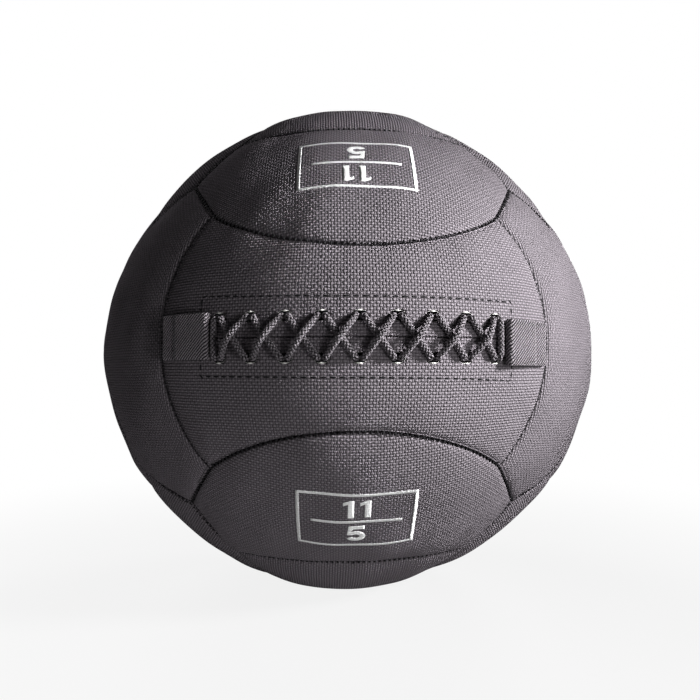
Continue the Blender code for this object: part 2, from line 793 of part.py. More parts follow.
def make_lining(ball, material):
    """The inner bag, whole but for its slit behind the lacing."""
    outer = lining_radius()
    inner = outer - LINING_THICKNESS
    mesh = bmesh.new()
    lathe(mesh, meridian(outer, -1)[:0:-1] + meridian(outer, 1))
    lathe(mesh, meridian(inner, 1)[:0:-1] + meridian(inner, -1))
    lining = make_piece("inner_lining_bag", mesh, material, ball)
    cut(lining, make_slit_cutter("lining_slit_cutter", ball, LINING_SLIT_LENGTH, LINING_SLIT_HEIGHT))
    return lining


def make_half_shell(name, outer, pocket, sign, ball, material):
    """Half of a layer: an outer dome over a pocket given from the equator to its pole."""
    gap = sign * NEST_GAP / 2
    dome = meridian(outer, sign, gap)
    hollow = [(radius, height + gap) for radius, height in pocket]
    outline = hollow[::-1] + dome
    if sign < 0:
        outline = dome[::-1] + hollow
    mesh = bmesh.new()
    lathe(mesh, outline)
    return make_piece(name, mesh, material, ball)


def bag_outline(growth):
    """The weight bag's outer shape above and below its widest ring, grown by a distance."""
    angles = [math.pi / 2 * i / BAG_STEPS for i in range(BAG_STEPS + 1)]
    radius = BAG_RADIUS + growth
    belly = [(radius * math.cos(a), -(BAG_DROP + growth) * math.sin(a)) for a in angles[:-1]]
    belly.append((0, -(BAG_DROP + growth)))
    shoulder = [(radius * math.cos(a), (BAG_RISE + growth) * math.sin(a)) for a in angles[:-1]]
    return belly, shoulder


def make_filling(ball, materials):
    """The foam shells, the wadding and the tied weight bag in their middle."""
    foam_outer = lining_radius() - LINING_THICKNESS - NEST_GAP
    foam_inner = foam_outer - FOAM_THICKNESS
    wadding_outer = foam_inner - NEST_GAP
    belly, shoulder = bag_outline(NEST_GAP)
    neck_base = BAG_RISE
    neck_top = neck_base + NECK_HEIGHT
    ruffle_top = neck_top + RUFFLE_HEIGHT
    well = RUFFLE_RADIUS + NEST_GAP
    shoulder = [point for point in shoulder if point[0] > well]
    pocket = shoulder + [(well, neck_base), (well, ruffle_top + NEST_GAP), (0, ruffle_top + NEST_GAP)]
    for name, sign, hollow in (("upper", 1, pocket), ("lower", -1, belly)):
        room = meridian(foam_inner, sign)
        make_half_shell(name + "_foam_shell", foam_outer, room, sign, ball, materials["foam"])
        make_half_shell(name + "_wadding", wadding_outer, hollow, sign, ball, materials["wadding"])
    make_weight_bag(ball, materials, neck_base, neck_top, ruffle_top)


def make_weight_bag(ball, materials, neck_base, neck_top, ruffle_top):
    """The cloth bag, its tie and the granules in it."""
    belly, shoulder = bag_outline(0)
    inner_belly, inner_shoulder = bag_outline(-BAG_THICKNESS)
    fill_belly, fill_shoulder = bag_outline(-BAG_THICKNESS - NEST_GAP)
    neck_middle = (neck_base + neck_top) / 2
    bore = NECK_RADIUS - BAG_THICKNESS
    tie_radius = TIE_DIAMETER / 2
    tied = (neck_middle - tie_radius, neck_middle + tie_radius)
    outside = belly[::-1] + shoulder[1:] + [(NECK_RADIUS, height) for height in tied]
    outside.append((RUFFLE_RADIUS, ruffle_top))
    inside = inner_belly[::-1] + inner_shoulder[1:] + [(bore, height) for height in tied]
    inside.append((RUFFLE_RADIUS - BAG_THICKNESS, ruffle_top))
    mesh = bmesh.new()
    lathe(mesh, outside + inside[::-1])
    make_piece("weight_bag", mesh, materials["calico"], ball)

    angles = [2 * math.pi * i / TIE_SIDES for i in range(TIE_SIDES)]
    ring = NECK_RADIUS + tie_radius + 2 * CLEARANCE
    section = [(ring + tie_radius * math.cos(a), neck_middle + tie_radius * math.sin(a)) for a in angles]
    mesh = bmesh.new()
    lathe(mesh, section, closed=True)
    make_piece("weight_bag_tie", mesh, materials["tie_cord"], ball)

    fill_top = BAG_RISE * FILL_SHARE
    filled = [point for point in fill_shoulder[1:] if point[1] < fill_top]
    mesh = bmesh.new()
    lathe(mesh, fill_belly[::-1] + filled + [(0, fill_top)])
    make_piece("weight_fill", mesh, materials["granules"], ball)


def main():
    """Builds every piece of the ball."""
    clear_scene()
    materials = make_materials()
    ball = make_empty("ball_centre", (0, 0, CENTRE_HEIGHT))
    panels = make_cover(ball, materials["cover_fabric"])
    patch = make_backing_patch(ball, materials["backing_fabric"])
    holes = make_hole_cutter(ball)
    slit_length = (HOLE_COUNT - 1) * HOLE_PITCH + SLIT_OVERRUN
    slit = make_slit_cutter("slit_cutter", ball, slit_length, SLIT_HEIGHT)
    for piece in (panels["front_laced_panel"], patch):
        cut(piece, holes)
        cut(piece, slit)
    make_lace(ball, materials["lace_cord"])
    make_box_stitching(ball, materials["thread"])
    for name, side, length in (("left", -1, LEFT_FLAP_LENGTH), ("right", 1, RIGHT_FLAP_LENGTH)):
        make_sewn_end(name + "_tab_sewn_end", side, ball, materials["tab_webbing"])
        make_flap(name + "_tab_flap", side, length, ball, materials["tab_webbing"])
        make_tab_stitching(name + "_tab_stitching", side, ball, materials["thread"])
    make_lining(ball, materials["lining_fabric"])
    make_filling(ball, materials)


main()
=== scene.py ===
"""The looks of a laced soft wall ball, dressed over its fixed frame.

Metres, +Z up. The laced panel faces -Y, and the origin is the middle of the small flat it rests on. Every place
on the cover is a direction from the ball's centre times a radius, as on the solids that the pieces stand for.
"""

from __future__ import annotations

import logging
import math
from collections.abc import Iterable, Sequence
from dataclasses import asdict, dataclass
from enum import Enum

import bmesh
import bpy
import numpy as np
from bpy.types import ID, Material, Node, NodeSocket, NodeTree, Object
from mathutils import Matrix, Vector


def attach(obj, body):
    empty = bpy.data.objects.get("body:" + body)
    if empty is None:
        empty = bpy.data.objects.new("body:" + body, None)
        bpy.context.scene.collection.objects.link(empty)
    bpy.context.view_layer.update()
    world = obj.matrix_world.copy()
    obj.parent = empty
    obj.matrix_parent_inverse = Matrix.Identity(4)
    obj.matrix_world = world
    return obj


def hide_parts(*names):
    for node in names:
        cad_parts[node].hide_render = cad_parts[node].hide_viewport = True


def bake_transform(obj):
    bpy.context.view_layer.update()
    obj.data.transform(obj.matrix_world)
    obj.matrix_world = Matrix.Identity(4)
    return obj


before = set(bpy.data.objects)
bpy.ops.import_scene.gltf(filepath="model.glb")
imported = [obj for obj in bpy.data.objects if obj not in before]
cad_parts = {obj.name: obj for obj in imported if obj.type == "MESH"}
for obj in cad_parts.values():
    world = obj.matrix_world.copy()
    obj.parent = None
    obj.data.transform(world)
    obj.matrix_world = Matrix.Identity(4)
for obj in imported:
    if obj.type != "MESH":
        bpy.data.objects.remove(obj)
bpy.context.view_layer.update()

LOG = logging.getLogger("wall_ball")
CLOTH_UV = "cloth"
STRAND_RISE = "strand_rise"

Array = np.ndarray
Pattern = tuple[NodeSocket, NodeSocket]
X = np.array((1.0, 0.0, 0.0))
Y = np.array((0.0, 1.0, 0.0))
Z = np.array((0.0, 0.0, 1.0))


class Side(Enum):
    """A side of the ball, as its sign along X."""

    LEFT = -1
    RIGHT = 1

    @property
    def word(self) -> str:
        """The side's name as the frame writes it."""
        return self.name.lower()


class PanelCut(Enum):
    """The two shapes that the cover is cut from."""

    STRIP = "strip"
    LENS = "lens"


def unit(vectors: Array) -> Array:
    """Vectors at length one."""
    return vectors / np.linalg.norm(vectors, axis=-1, keepdims=True)


def eased(count: int, crowding: float) -> Array:
    """Shares from 0 to 1 that crowd towards both ends."""
    shares = np.linspace(0, 1, count + 1)
    return shares - crowding * np.sin(2 * np.pi * shares) / (2 * np.pi)


def travelled(path: Array) -> Array:
    """How far along a path each of its points lies."""
    return np.concatenate(([0.0], np.cumsum(np.linalg.norm(np.diff(path, axis=0), axis=1))))


def facing(longitude: Array | float, latitude: Array | float) -> Array:
    """The direction at a longitude right of the front's middle and a latitude above it, in radians.

    Args:
        longitude: Radians to the right of the front.
        latitude: Radians above level.

    Returns:
        The directions, one for each pair.
    """
    longitude, latitude = np.broadcast_arrays(longitude, latitude)
    level = np.cos(latitude)
    return np.stack((np.sin(longitude) * level, -np.cos(longitude) * level, np.sin(latitude)), axis=-1)


@dataclass(frozen=True)
class WaveField:
    """Smooth lumps, as a seeded sum of plane waves."""

    height: float
    longest: float
    shortest: float
    seed: int
    count: int = 28

    def at(self, points: Array) -> Array:
        """The lumps' height.

        Args:
            points: Places in metres.

        Returns:
            A height at each.
        """
        random = np.random.default_rng(self.seed)
        lengths = random.uniform(self.shortest, self.longest, self.count)
        waves = unit(random.normal(size=(self.count, points.shape[-1]))) * (2 * np.pi / lengths)[:, None]
        turns = random.uniform(0, 2 * np.pi, self.count)
        return np.sin(points @ waves.T + turns).sum(axis=-1) * self.height / math.sqrt(self.count / 2)


@dataclass(frozen=True)
class BallForm:
    """The stuffed ball's own form, which every sewn piece follows."""

    diameter: float = 0.350
    height: float = 0.342
    rest_sink: float = 0.0026
    shoulder_drop: float = 0.0040
    clearance: float = 0.0003
    settling: tuple[tuple[float, float, float], ...] = (
        (144, -0.0014, 20),
        (215, 0.0018, 26),
        (285, -0.0020, 16),
        (330, 0.0018, 14),
        (75, 0.0008, 14),
    )
    settling_tilt: float = math.radians(69)

    @property
    def radius(self) -> float:
        """The ball's radius at its widest."""
        return self.diameter / 2

    @property
    def squash(self) -> float:
        """How much lower than round the ball is."""
        return (self.height + self.rest_sink) / 2 / self.radius

    @property
    def centre(self) -> Array:
        """The ball's centre."""
        return Z * ((self.height + self.rest_sink) / 2 - self.rest_sink)

    def open_radius(self, directions: Array) -> Array:
        """The cover's radius away from its seams: round, lower at the shoulders, and settled unevenly.

        Args:
            directions: From the ball's centre.

        Returns:
            A radius for each.
        """
        boxiness = 2 * (1 - (directions ** 4).sum(axis=-1))
        radii = self.radius - self.shoulder_drop * boxiness
        for turn, height, width in self.settling:
            ring = math.sin(self.settling_tilt)
            angle = math.radians(turn)
            middle = np.array((math.cos(angle) * ring, -math.cos(self.settling_tilt), math.sin(angle) * ring))
            apart = np.arccos(np.clip(directions @ middle, -1, 1)) / math.radians(width)
            radii = radii + height * np.exp(-(apart ** 2))
        return radii

    def place(self, directions: Array, radii: Array | float) -> Array:
        """Points at radii from the ball's centre, on the slightly flattened ball."""
        points = directions * np.asarray(radii)[..., None]
        return points * np.array((1, 1, self.squash)) + self.centre

    def over(self, directions: Array, lift: Array | float) -> Array:
        """Points at a height over the cover, away from its seams."""
        return self.place(directions, self.open_radius(directions) + lift)


FORM = BallForm()


class Nodes:
    """Adds and links the nodes of one tree, each a step to the right of the last."""

    def __init__(self, tree: NodeTree) -> None:
        """Starts on a tree."""
        self.tree = tree
        self.reach = 0

    def add(self, kind: str, inputs: dict | None = None, **settings: object) -> Node:
        """A new node.

        Args:
            kind: The node's Blender type.
            inputs: Values or sockets for its inputs, by name or number.
            **settings: The node's own properties.

        Returns:
            The node.
        """
        node = self.tree.nodes.new(kind)
        node.location.x = self.reach
        self.reach += node.width
        for name, value in settings.items():
            setattr(node, name, value)
        for name, value in (inputs or {}).items():
            self.feed(node.inputs[name], value)
        return node

    def feed(self, socket: NodeSocket, value: object) -> None:
        """Links a socket to an input, or sets the input's own value.

        Args:
            socket: The input.
            value: What it gets.
        """
        if isinstance(value, NodeSocket):
            self.tree.links.new(value, socket)
        else:
            socket.default_value = value

    def math(self, operation: str, *values: object) -> NodeSocket:
        """The result of a sum on numbers or sockets."""
        return self.add("ShaderNodeMath", dict(enumerate(values)), operation=operation).outputs[0]

    def vector(self, operation: str, *values: object) -> NodeSocket:
        """A sum on vectors.

        Args:
            operation: The sum.
            *values: Its vectors or sockets.

        Returns:
            The result.
        """
        node = self.add("ShaderNodeVectorMath", operation=operation)
        for i, value in enumerate(values):
            name = "Scale" if operation == "SCALE" and i == 1 else i
            self.feed(node.inputs[name], value)
        return node.outputs[0]

    def noise(self, place: NodeSocket, size: float, detail: float = 2.0) -> NodeSocket:
        """Noise from 0 to 1, with lumps of about a size in metres."""
        inputs = {"Vector": place, "Scale": 1 / size, "Detail": detail}
        return self.add("ShaderNodeTexNoise", inputs).outputs["Fac"]

    def climb(self, value: NodeSocket, low: float, high: float, start: float = 0.0) -> NodeSocket:
        """A smooth climb from a start to 1, while a value goes from low to high."""
        ends = {"Value": value, 1: low, 2: high, 3: start, 4: 1.0}
        return self.add("ShaderNodeMapRange", ends, interpolation_type="SMOOTHSTEP").outputs["Result"]

    def mixed(self, share: NodeSocket, low: Sequence[float], high: Sequence[float]) -> NodeSocket:
        """A colour between two, by a share."""
        return self.add("ShaderNodeMix", {0: share, 6: (*low, 1), 7: (*high, 1)}, data_type="RGBA").outputs[2]

    def on_cloth(self) -> NodeSocket:
        """The place on the piece's own cloth map, in metres."""
        return self.add("ShaderNodeUVMap", uv_map=CLOTH_UV).outputs[0]

    def in_piece(self) -> NodeSocket:
        """The place in the piece's own space."""
        return self.add("ShaderNodeTexCoord").outputs["Object"]


@dataclass(frozen=True)
class Finish:
    """A finish: a pattern that shades its colour and gives it relief, and its gloss. Where the pattern's tone
    follows its height, that shading is painted shade in the hollows.
    """

    name: str
    colour: tuple[float, float, float]
    relief: float = 0.0002
    shade_share: float = 0.5
    roughness: float = 0.8
    specular: float = 0.05
    metallic: float = 0.0

    def build(self) -> Material:
        """Makes the finish.

        Returns:
            Its material.
        """
        material = bpy.data.materials.new(self.name)
        material.use_nodes = True
        nodes = Nodes(material.node_tree)
        tone, height = self.pattern(nodes)
        # shade: the colour's darkest tone; in finishes whose tone follows their height it is painted shade in
        # the hollows
        shade = [part * self.shade_share for part in self.colour]
        bump = nodes.add("ShaderNodeBump", {"Height": height, "Distance": self.relief})
        shader = material.node_tree.nodes["Principled BSDF"]
        for name, value in (
            ("Base Color", nodes.mixed(tone, shade, self.colour)),
            ("Normal", bump.outputs[0]),
            ("Roughness", self.roughness),
            ("Specular IOR Level", self.specular),
            ("Metallic", self.metallic),
        ):
            nodes.feed(shader.inputs[name], value)
        return material

    def pattern(self, nodes: Nodes) -> Pattern:
        """The tone from shade to colour, and the height, both from 0 to 1."""
        raise NotImplementedError


@dataclass(frozen=True)
class WovenFinish(Finish):
    """Plain-woven cloth: warp and weft pass over each other in turn, with a yarn's own unevenness, and painted
    shade in the valleys between yarns.
    """

    relief: float = 0.0010
    shade_share: float = 0.10
    roughness: float = 0.9
    specular: float = 0.0
    yarn_pitch: float = 0.00164
    warp_share: float = 0.68
    float_fade: float = 0.6
    crown_power: float = 0.7
    wander_share: float = 0.35
    wander_yarns: float = 9
    stain_yarns: float = 24
    stain_share: float = 0.2
    # How much the weave's height darkens the colour: painted shade in the valleys.
    weave_share: float = 0.9
    fuzz_share: float = 0.18

    def pattern(self, nodes: Nodes) -> Pattern:
        """The weave, on the piece's own cloth map.

        Args:
            nodes: The material's nodes.

        Returns:
            The tone from shade to colour, and the height.
        """
        place = nodes.on_cloth()
        size = self.wander_yarns * self.yarn_pitch
        wander = nodes.add("ShaderNodeTexNoise", {"Vector": place, "Scale": 1 / size})
        shift = nodes.vector("SUBTRACT", wander.outputs["Color"], (0.5, 0.5, 0.5))
        shift = nodes.vector("SCALE", shift, self.wander_share * self.yarn_pitch)
        yarns = nodes.vector("SCALE", nodes.vector("ADD", place, shift), math.pi / self.yarn_pitch)
        split = nodes.add("ShaderNodeSeparateXYZ", {0: yarns})
        weave = self.weave_height(nodes, split.outputs[0], split.outputs[1])
        fuzz = nodes.noise(place, self.yarn_pitch / 3, 3.0)
        height = nodes.math("MULTIPLY_ADD", fuzz, self.fuzz_share, weave)
        stain = nodes.noise(place, self.stain_yarns * self.yarn_pitch)
        # Painted shade: the tone follows the weave's height, darker in the valleys between yarns; the stains
        # are random.
        tone = nodes.math("MULTIPLY", height, self.weave_share)
        return nodes.math("MULTIPLY_ADD", stain, self.stain_share, tone), height

    def weave_height(self, nodes: Nodes, warp: NodeSocket, weft: NodeSocket) -> NodeSocket:
        """The height of whichever yarn is on top.

        Args:
            nodes: The material's nodes.
            warp: The place across the warp, at half a turn for each yarn.
            weft: The same across the weft.

        Returns:
            A height from 0 to 1.
        """
        tops = []
        for over, under, sign, height, fade in (
            (warp, weft, 0.5, self.warp_share, 1.0),
            (weft, warp, -0.5, 1.0, self.float_fade),
        ):
            wave = nodes.math("SINE", over)
            rise = nodes.math("MULTIPLY", nodes.math("SIGN", wave), nodes.math("SINE", under))
            up = nodes.math("POWER", nodes.math("MULTIPLY_ADD", rise, sign, 0.5), fade)
            crown = nodes.math("POWER", nodes.math("ABSOLUTE", wave), self.crown_power)
            tops.append(nodes.math("MULTIPLY", nodes.math("MULTIPLY", crown, height), up))
        return nodes.math("MAXIMUM", *tops)


@dataclass(frozen=True)
class YarnFinish(Finish):
    """Spun yarn, fibre or granules: a matt colour with fine grain that runs through the piece."""

    roughness: float = 0.85
    grain: float = 0.0006
    broad_grains: float = 30
    broad_share: float = 0.4
    fine_share: float = 0.8

    def pattern(self, nodes: Nodes) -> Pattern:
        """Fine grain over broad lumps, in the piece's own space.

        Args:
            nodes: The material's nodes.

        Returns:
            The tone from shade to colour, and the height.
        """
        place = nodes.in_piece()
        fine = nodes.noise(place, self.grain, 4.0)
        broad = nodes.noise(place, self.broad_grains * self.grain)
        tone = nodes.math("MULTIPLY", fine, self.fine_share)
        return nodes.math("MULTIPLY_ADD", broad, self.broad_share, tone), fine


@dataclass(frozen=True)
class FoamFinish(Finish):
    """Open-celled foam: small round pits in a pale matt body, with painted shade in the pits."""

    relief: float = 0.0006
    roughness: float = 0.9
    specular: float = 0.5
    cell: float = 0.0016

    def pattern(self, nodes: Nodes) -> Pattern:
        """The cells, in the piece's own space."""
        cells = nodes.add("ShaderNodeTexVoronoi", {"Vector": nodes.in_piece(), "Scale": 1 / self.cell})
        # Painted shade: the tone follows the cells' depth, darker in each pit.
        return cells.outputs["Distance"], cells.outputs["Distance"]


@dataclass(frozen=True)
class TwillFinish(Finish):
    """Twill webbing: ribs of yarn that rise to the right, each beaded where its yarn dives, with painted shade
    between the ribs.
    """

    relief: float = 0.0012
    shade_share: float = 0.03
    rib_pitch: float = 0.0014
    bead_pitch: float = 0.0014
    slope: float = math.radians(42)
    tone_power: float = 3.0
    bead_share: float = 0.25
    fuzz_share: float = 0.2

    def pattern(self, nodes: Nodes) -> Pattern:
        """The ribs, on the webbing's own map.

        Args:
            nodes: The material's nodes.

        Returns:
            The tone from shade to colour, and the height.
        """
        place = nodes.on_cloth()
        turn = {"Vector": place, "Angle": -self.slope}
        turned = nodes.add("ShaderNodeVectorRotate", turn, rotation_type="Z_AXIS").outputs[0]
        split = nodes.add("ShaderNodeSeparateXYZ", {0: turned})
        across = nodes.math("DIVIDE", split.outputs[1], self.rib_pitch)
        beads = nodes.math("DIVIDE", split.outputs[0], self.bead_pitch)
        along = nodes.math("MULTIPLY_ADD", nodes.math("FLOOR", across), 0.5, beads)
        waves = [nodes.math("SINE", nodes.math("MULTIPLY", turns, math.pi)) for turns in (across, along)]
        rib, bead = (nodes.math("SQRT", nodes.math("ABSOLUTE", wave)) for wave in waves)
        beaded = nodes.math("MULTIPLY_ADD", bead, self.bead_share, 1 - self.bead_share)
        fuzz = nodes.noise(place, self.rib_pitch / 3, 3.0)
        height = nodes.math("MULTIPLY_ADD", fuzz, self.fuzz_share, nodes.math("MULTIPLY", rib, beaded))
        # Painted shade: the tone is the ribs' height to a power, so the valleys between ribs are near black.
        return nodes.math("POWER", height, self.tone_power), height


@dataclass(frozen=True)
class BraidFinish(Finish):
    """Braided cord: each strand is pale where it rides on top, and carries painted shade where it dives under
    another.
    """

    shade_share: float = 0.04
    specular: float = 0.08
    grain: float = 0.0003
    darkest_rise: float = -0.3
    grain_share: float = 0.8
    least_grain: float = 0.6

    def pattern(self, nodes: Nodes) -> Pattern:
        """How high each strand lies, as the braid itself holds it, with fine grain.

        Args:
            nodes: The material's nodes.

        Returns:
            The tone from shade to colour, and the height.
        """
        fine = nodes.noise(nodes.in_piece(), self.grain, 3.0)
        rise = nodes.add("ShaderNodeAttribute", attribute_name=STRAND_RISE).outputs["Fac"]
        # Painted shade: the colour darkens where a strand dives under the others.
        crown = nodes.climb(rise, self.darkest_rise, 1.0)
        grain = nodes.math("MULTIPLY_ADD", fine, self.grain_share, self.least_grain)
        return nodes.math("MULTIPLY", crown, grain), fine


class FinishSet:
    """Every finish on the ball, built once."""

    def __init__(self) -> None:
        """Builds the materials."""
        self.cover = WovenFinish("cover_cloth", (0.238, 0.214, 0.236)).build()
        self.backing = WovenFinish("backing_cloth", (0.080, 0.080, 0.085), yarn_pitch=0.0011).build()
        self.lining = WovenFinish("lining_cloth", (0.30, 0.30, 0.31), yarn_pitch=0.0007, relief=0.0002).build()
        self.calico = WovenFinish("calico_cloth", (0.72, 0.68, 0.58), yarn_pitch=0.0008, relief=0.0002).build()
        self.ink = WovenFinish("print_ink", (0.98, 0.98, 0.98), shade_share=0.85, relief=0.0002).build()
        self.webbing = TwillFinish("tab_twill", (0.275, 0.249, 0.272)).build()
        self.lace = BraidFinish("braided_lace", (0.225, 0.205, 0.224)).build()
        self.thread = YarnFinish("sewing_thread", (0.022, 0.021, 0.023), grain=0.0003).build()
        # Pale hole rims: partly the cut edge, partly a painted highlight.
        self.cut_edge = YarnFinish("cut_backing_edge", (0.80, 0.79, 0.76), shade_share=0.85).build()
        self.foam = FoamFinish("open_foam", (0.62, 0.62, 0.58)).build()
        self.wadding = YarnFinish("packed_fibre", (0.42, 0.42, 0.44), grain=0.0015, relief=0.0012).build()
        self.tie = BraidFinish("tie_string", (0.80, 0.80, 0.78), shade_share=0.4).build()
        self.granules = YarnFinish("iron_granules", (0.20, 0.18, 0.17), metallic=0.8, specular=0.5).build()


def link_object(name: str, data: ID) -> Object:
    """Puts data in the scene, at the origin.

    Args:
        name: The object's name.
        data: Its data.

    Returns:
        The object.
    """
    thing = bpy.data.objects.new(name, data)
    bpy.context.scene.collection.objects.link(thing)
    return thing


def make_mesh_object(
    name: str,
    points: Array,
    faces: Iterable[Sequence[int]],
    material: Material | None = None,
    cloth: Array | None = None,
    edges: Sequence[Sequence[int]] = (),
) -> Object:
    """A smooth mesh object.

    Args:
        name: The object's name.
        points: The places of its vertices.
        faces: Vertex numbers of each face, anticlockwise from outside.
        material: Its finish.
        cloth: The cloth map's two coordinates for each vertex, in metres.
        edges: Loose edges, for a path.

    Returns:
        The object.
    """
    data = bpy.data.meshes.new(name)
    data.from_pydata([tuple(point) for point in points.tolist()], edges, [tuple(face) for face in faces])
    if cloth is not None:
        corners = np.zeros(len(data.loops), np.int32)
        data.loops.foreach_get("vertex_index", corners)
        layer = data.uv_layers.new(name=CLOTH_UV)
        layer.data.foreach_set("uv", cloth[corners].astype(np.float32).ravel())
    if material is not None:
        data.materials.append(material)
    data.shade_smooth()
    return link_object(name, data)


def freeze(thing: Object) -> Object:
    """Turns an object's modifiers into its plain mesh.

    Args:
        thing: The object.

    Returns:
        The same object.
    """
    graph = bpy.context.evaluated_depsgraph_get()
    made = bpy.data.meshes.new_from_object(thing.evaluated_get(graph), depsgraph=graph)
    thing.modifiers.clear()
    thing.data = made
    return thing


def thicken(thing: Object, thickness: float) -> None:
    """Gives a sheet its wall, inwards.

    Args:
        thing: The sheet.
        thickness: The wall's.
    """
    wall = thing.modifiers.new("wall", "SOLIDIFY")
    wall.thickness = thickness
    wall.offset = -1


def carve(thing: Object, cutters: Sequence[Object]) -> Object:
    """Takes cutters away from a piece.

    Args:
        thing: The piece, closed.
        cutters: What is cut away, which is used up.

    Returns:
        The same piece.
    """
    for cutter in cutters:
        boolean = thing.modifiers.new(cutter.name, "BOOLEAN")
        boolean.operation = "DIFFERENCE"
        boolean.solver = "EXACT"
        boolean.object = cutter
    freeze(thing)
    for cutter in cutters:
        bpy.data.objects.remove(cutter)
    return thing


def grid_faces(rows: int, columns: int) -> Array:
    """Faces of a sheet of vertices numbered row by row."""
    first = (np.arange(rows)[:, None] * (columns + 1) + np.arange(columns)[None]).ravel()
    return np.stack((first, first + 1, first + columns + 2, first + columns + 1), axis=1)


def loop_faces(outer: Array, inner: Array) -> Array:
    """Faces between a loop of vertices and the loop inside it."""
    return np.stack((outer, np.roll(outer, -1), np.roll(inner, -1), inner), axis=1)


def tube_faces(rings: int, sides: int, closed: bool = False) -> list[list[int]]:
    """Faces of a tube whose rings of vertices are numbered one after another.

    Args:
        rings: How many rings it has.
        sides: How many vertices each has.
        closed: Whether the last ring joins the first.

    Returns:
        Four vertex numbers for each face.
    """
    faces = []
    for i in range(rings if closed else rings - 1):
        around = np.arange(sides)
        faces += loop_faces(around + i * sides, around + (i + 1) % rings * sides).tolist()
    return faces


def report(piece: Object) -> None:
    """Logs a finished piece's name and size."""
    LOG.info("%s: %d faces", piece.name, len(piece.data.polygons))


def dress(piece: Object, slot: str | None, *nodes: str) -> None:
    """Puts a finished piece on the ball and hides the frame's nodes that it takes the place of.

    Args:
        piece: The piece, as a plain mesh.
        slot: The material slot it belongs to, or None; not used.
        *nodes: The frame's nodes that it takes the place of.
    """
    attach(piece, "ball")
    if nodes:
        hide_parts(*nodes)
    report(piece)


class GeometryTree:
    """A geometry node tree with named inputs, run over a mesh and turned into a plain one."""

    def __init__(self, name: str, kinds: dict[str, str]) -> None:
        """Starts a tree that takes and gives geometry, and takes a material.

        Args:
            name: The tree's name.
            kinds: The kind of each further input, by its name.
        """
        self.tree = bpy.data.node_groups.new(name, "GeometryNodeTree")
        self.nodes = Nodes(self.tree)
        self.identifiers: dict[str, str] = {}
        for label, kind in {"Geometry": "Geometry", **kinds, "Material": "Material"}.items():
            socket = self.tree.interface.new_socket(label, in_out="INPUT", socket_type=f"NodeSocket{kind}")
            self.identifiers[label] = socket.identifier
        self.tree.interface.new_socket("Geometry", in_out="OUTPUT", socket_type="NodeSocketGeometry")
        entry = self.nodes.add("NodeGroupInput")
        self.given = {socket.name: socket for socket in entry.outputs if socket.name}

    def outward(self) -> NodeSocket:
        """The vector from the ball's centre to each point."""
        place = self.nodes.add("GeometryNodeInputPosition").outputs[0]
        return self.nodes.vector("SUBTRACT", place, self.given["Centre"])

    def squared(self, out: NodeSocket, toward: NodeSocket, axis: str) -> NodeSocket:
        """A rotation square to a vector.

        Args:
            out: The vector that Z lies along.
            toward: What the other axis is turned as near as it goes to.
            axis: That axis.

        Returns:
            The rotation.
        """
        kind = "FunctionNodeAlignRotationToVector"
        upright = self.nodes.add(kind, {"Vector": out}, axis="Z").outputs[0]
        turned = {"Rotation": upright, "Vector": toward}
        return self.nodes.add(kind, turned, axis=axis, pivot_axis="Z").outputs[0]

    def repeated(
        self, points: NodeSocket, thing: NodeSocket, rotation: NodeSocket, **more: NodeSocket
    ) -> NodeSocket:
        """One thing at every point, turned there."""
        inputs = {"Points": points, "Instance": thing, "Rotation": rotation, **more}
        return self.nodes.add("GeometryNodeInstanceOnPoints", inputs).outputs[0]

    def close(self, geometry: NodeSocket) -> None:
        """Ends the tree in real, smooth geometry with its finish.

        Args:
            geometry: What the tree has made.
        """
        real = self.nodes.add("GeometryNodeRealizeInstances", {"Geometry": geometry}).outputs[0]
        smooth = self.nodes.add("GeometryNodeSetShadeSmooth", {"Geometry": real}).outputs[0]
        finish = {"Geometry": smooth, "Material": self.given["Material"]}
        self.nodes.add("NodeGroupOutput", {0: self.nodes.add("GeometryNodeSetMaterial", finish).outputs[0]})

    def run(self, name: str, source: Object, values: dict[str, object]) -> Object:
        """Runs the tree over a source object, which it uses up.

        Args:
            name: The made piece's name.
            source: The mesh that the tree reads.
            values: Its inputs, by name.

        Returns:
            The piece, as a plain mesh.
        """
        modifier = source.modifiers.new(self.tree.name, "NODES")
        modifier.node_group = self.tree
        for label, value in values.items():
            modifier[self.identifiers[label]] = value
        freeze(source)
        source.name = name
        source.data.name = name
        return source


def make_path(name: str, paths: Sequence[Array], closed: bool = False) -> Object:
    """Loose paths as one object, for a tree to follow.

    Args:
        name: The object's name.
        paths: The points of each.
        closed: Whether each joins up.

    Returns:
        The object.
    """
    edges = []
    start = 0
    for path in paths:
        steps = len(path) if closed else len(path) - 1
        edges += [(start + i, start + (i + 1) % len(path)) for i in range(steps)]
        start += len(path)
    return make_mesh_object(name, np.concatenate(paths), (), edges=edges)


class StitchTree(GeometryTree):
    """Stitches along paths on the ball: small rounded threads, each square to the cover."""

    def __init__(self) -> None:
        """Builds the tree."""
        super().__init__("stitches", {"Pitch": "Float", "Size": "Vector", "Centre": "Vector"})
        nodes, given = self.nodes, self.given
        curve = nodes.add("GeometryNodeMeshToCurve", {"Mesh": given["Geometry"]}).outputs[0]
        steps = {"Curve": curve, "Length": given["Pitch"]}
        points = nodes.add("GeometryNodeCurveToPoints", steps, mode="LENGTH")
        turned = self.squared(self.outward(), points.outputs["Tangent"], "X")
        thread = nodes.add("GeometryNodeMeshUVSphere", {"Segments": 8, "Rings": 6, "Radius": 0.5}).outputs[0]
        self.close(self.repeated(points.outputs["Points"], thread, turned, Scale=given["Size"]))

    def sew(
        self, name: str, paths: Sequence[Array], pitch: float, size: Sequence[float], thread: Material,
        closed: bool = False,
    ) -> Object:
        """Stitches of one size (length, width, height) along paths, as one piece."""
        values = {"Pitch": pitch, "Size": size, "Centre": tuple(FORM.centre), "Material": thread}
        return self.run(name, make_path(f"{name}_path", paths, closed), values)


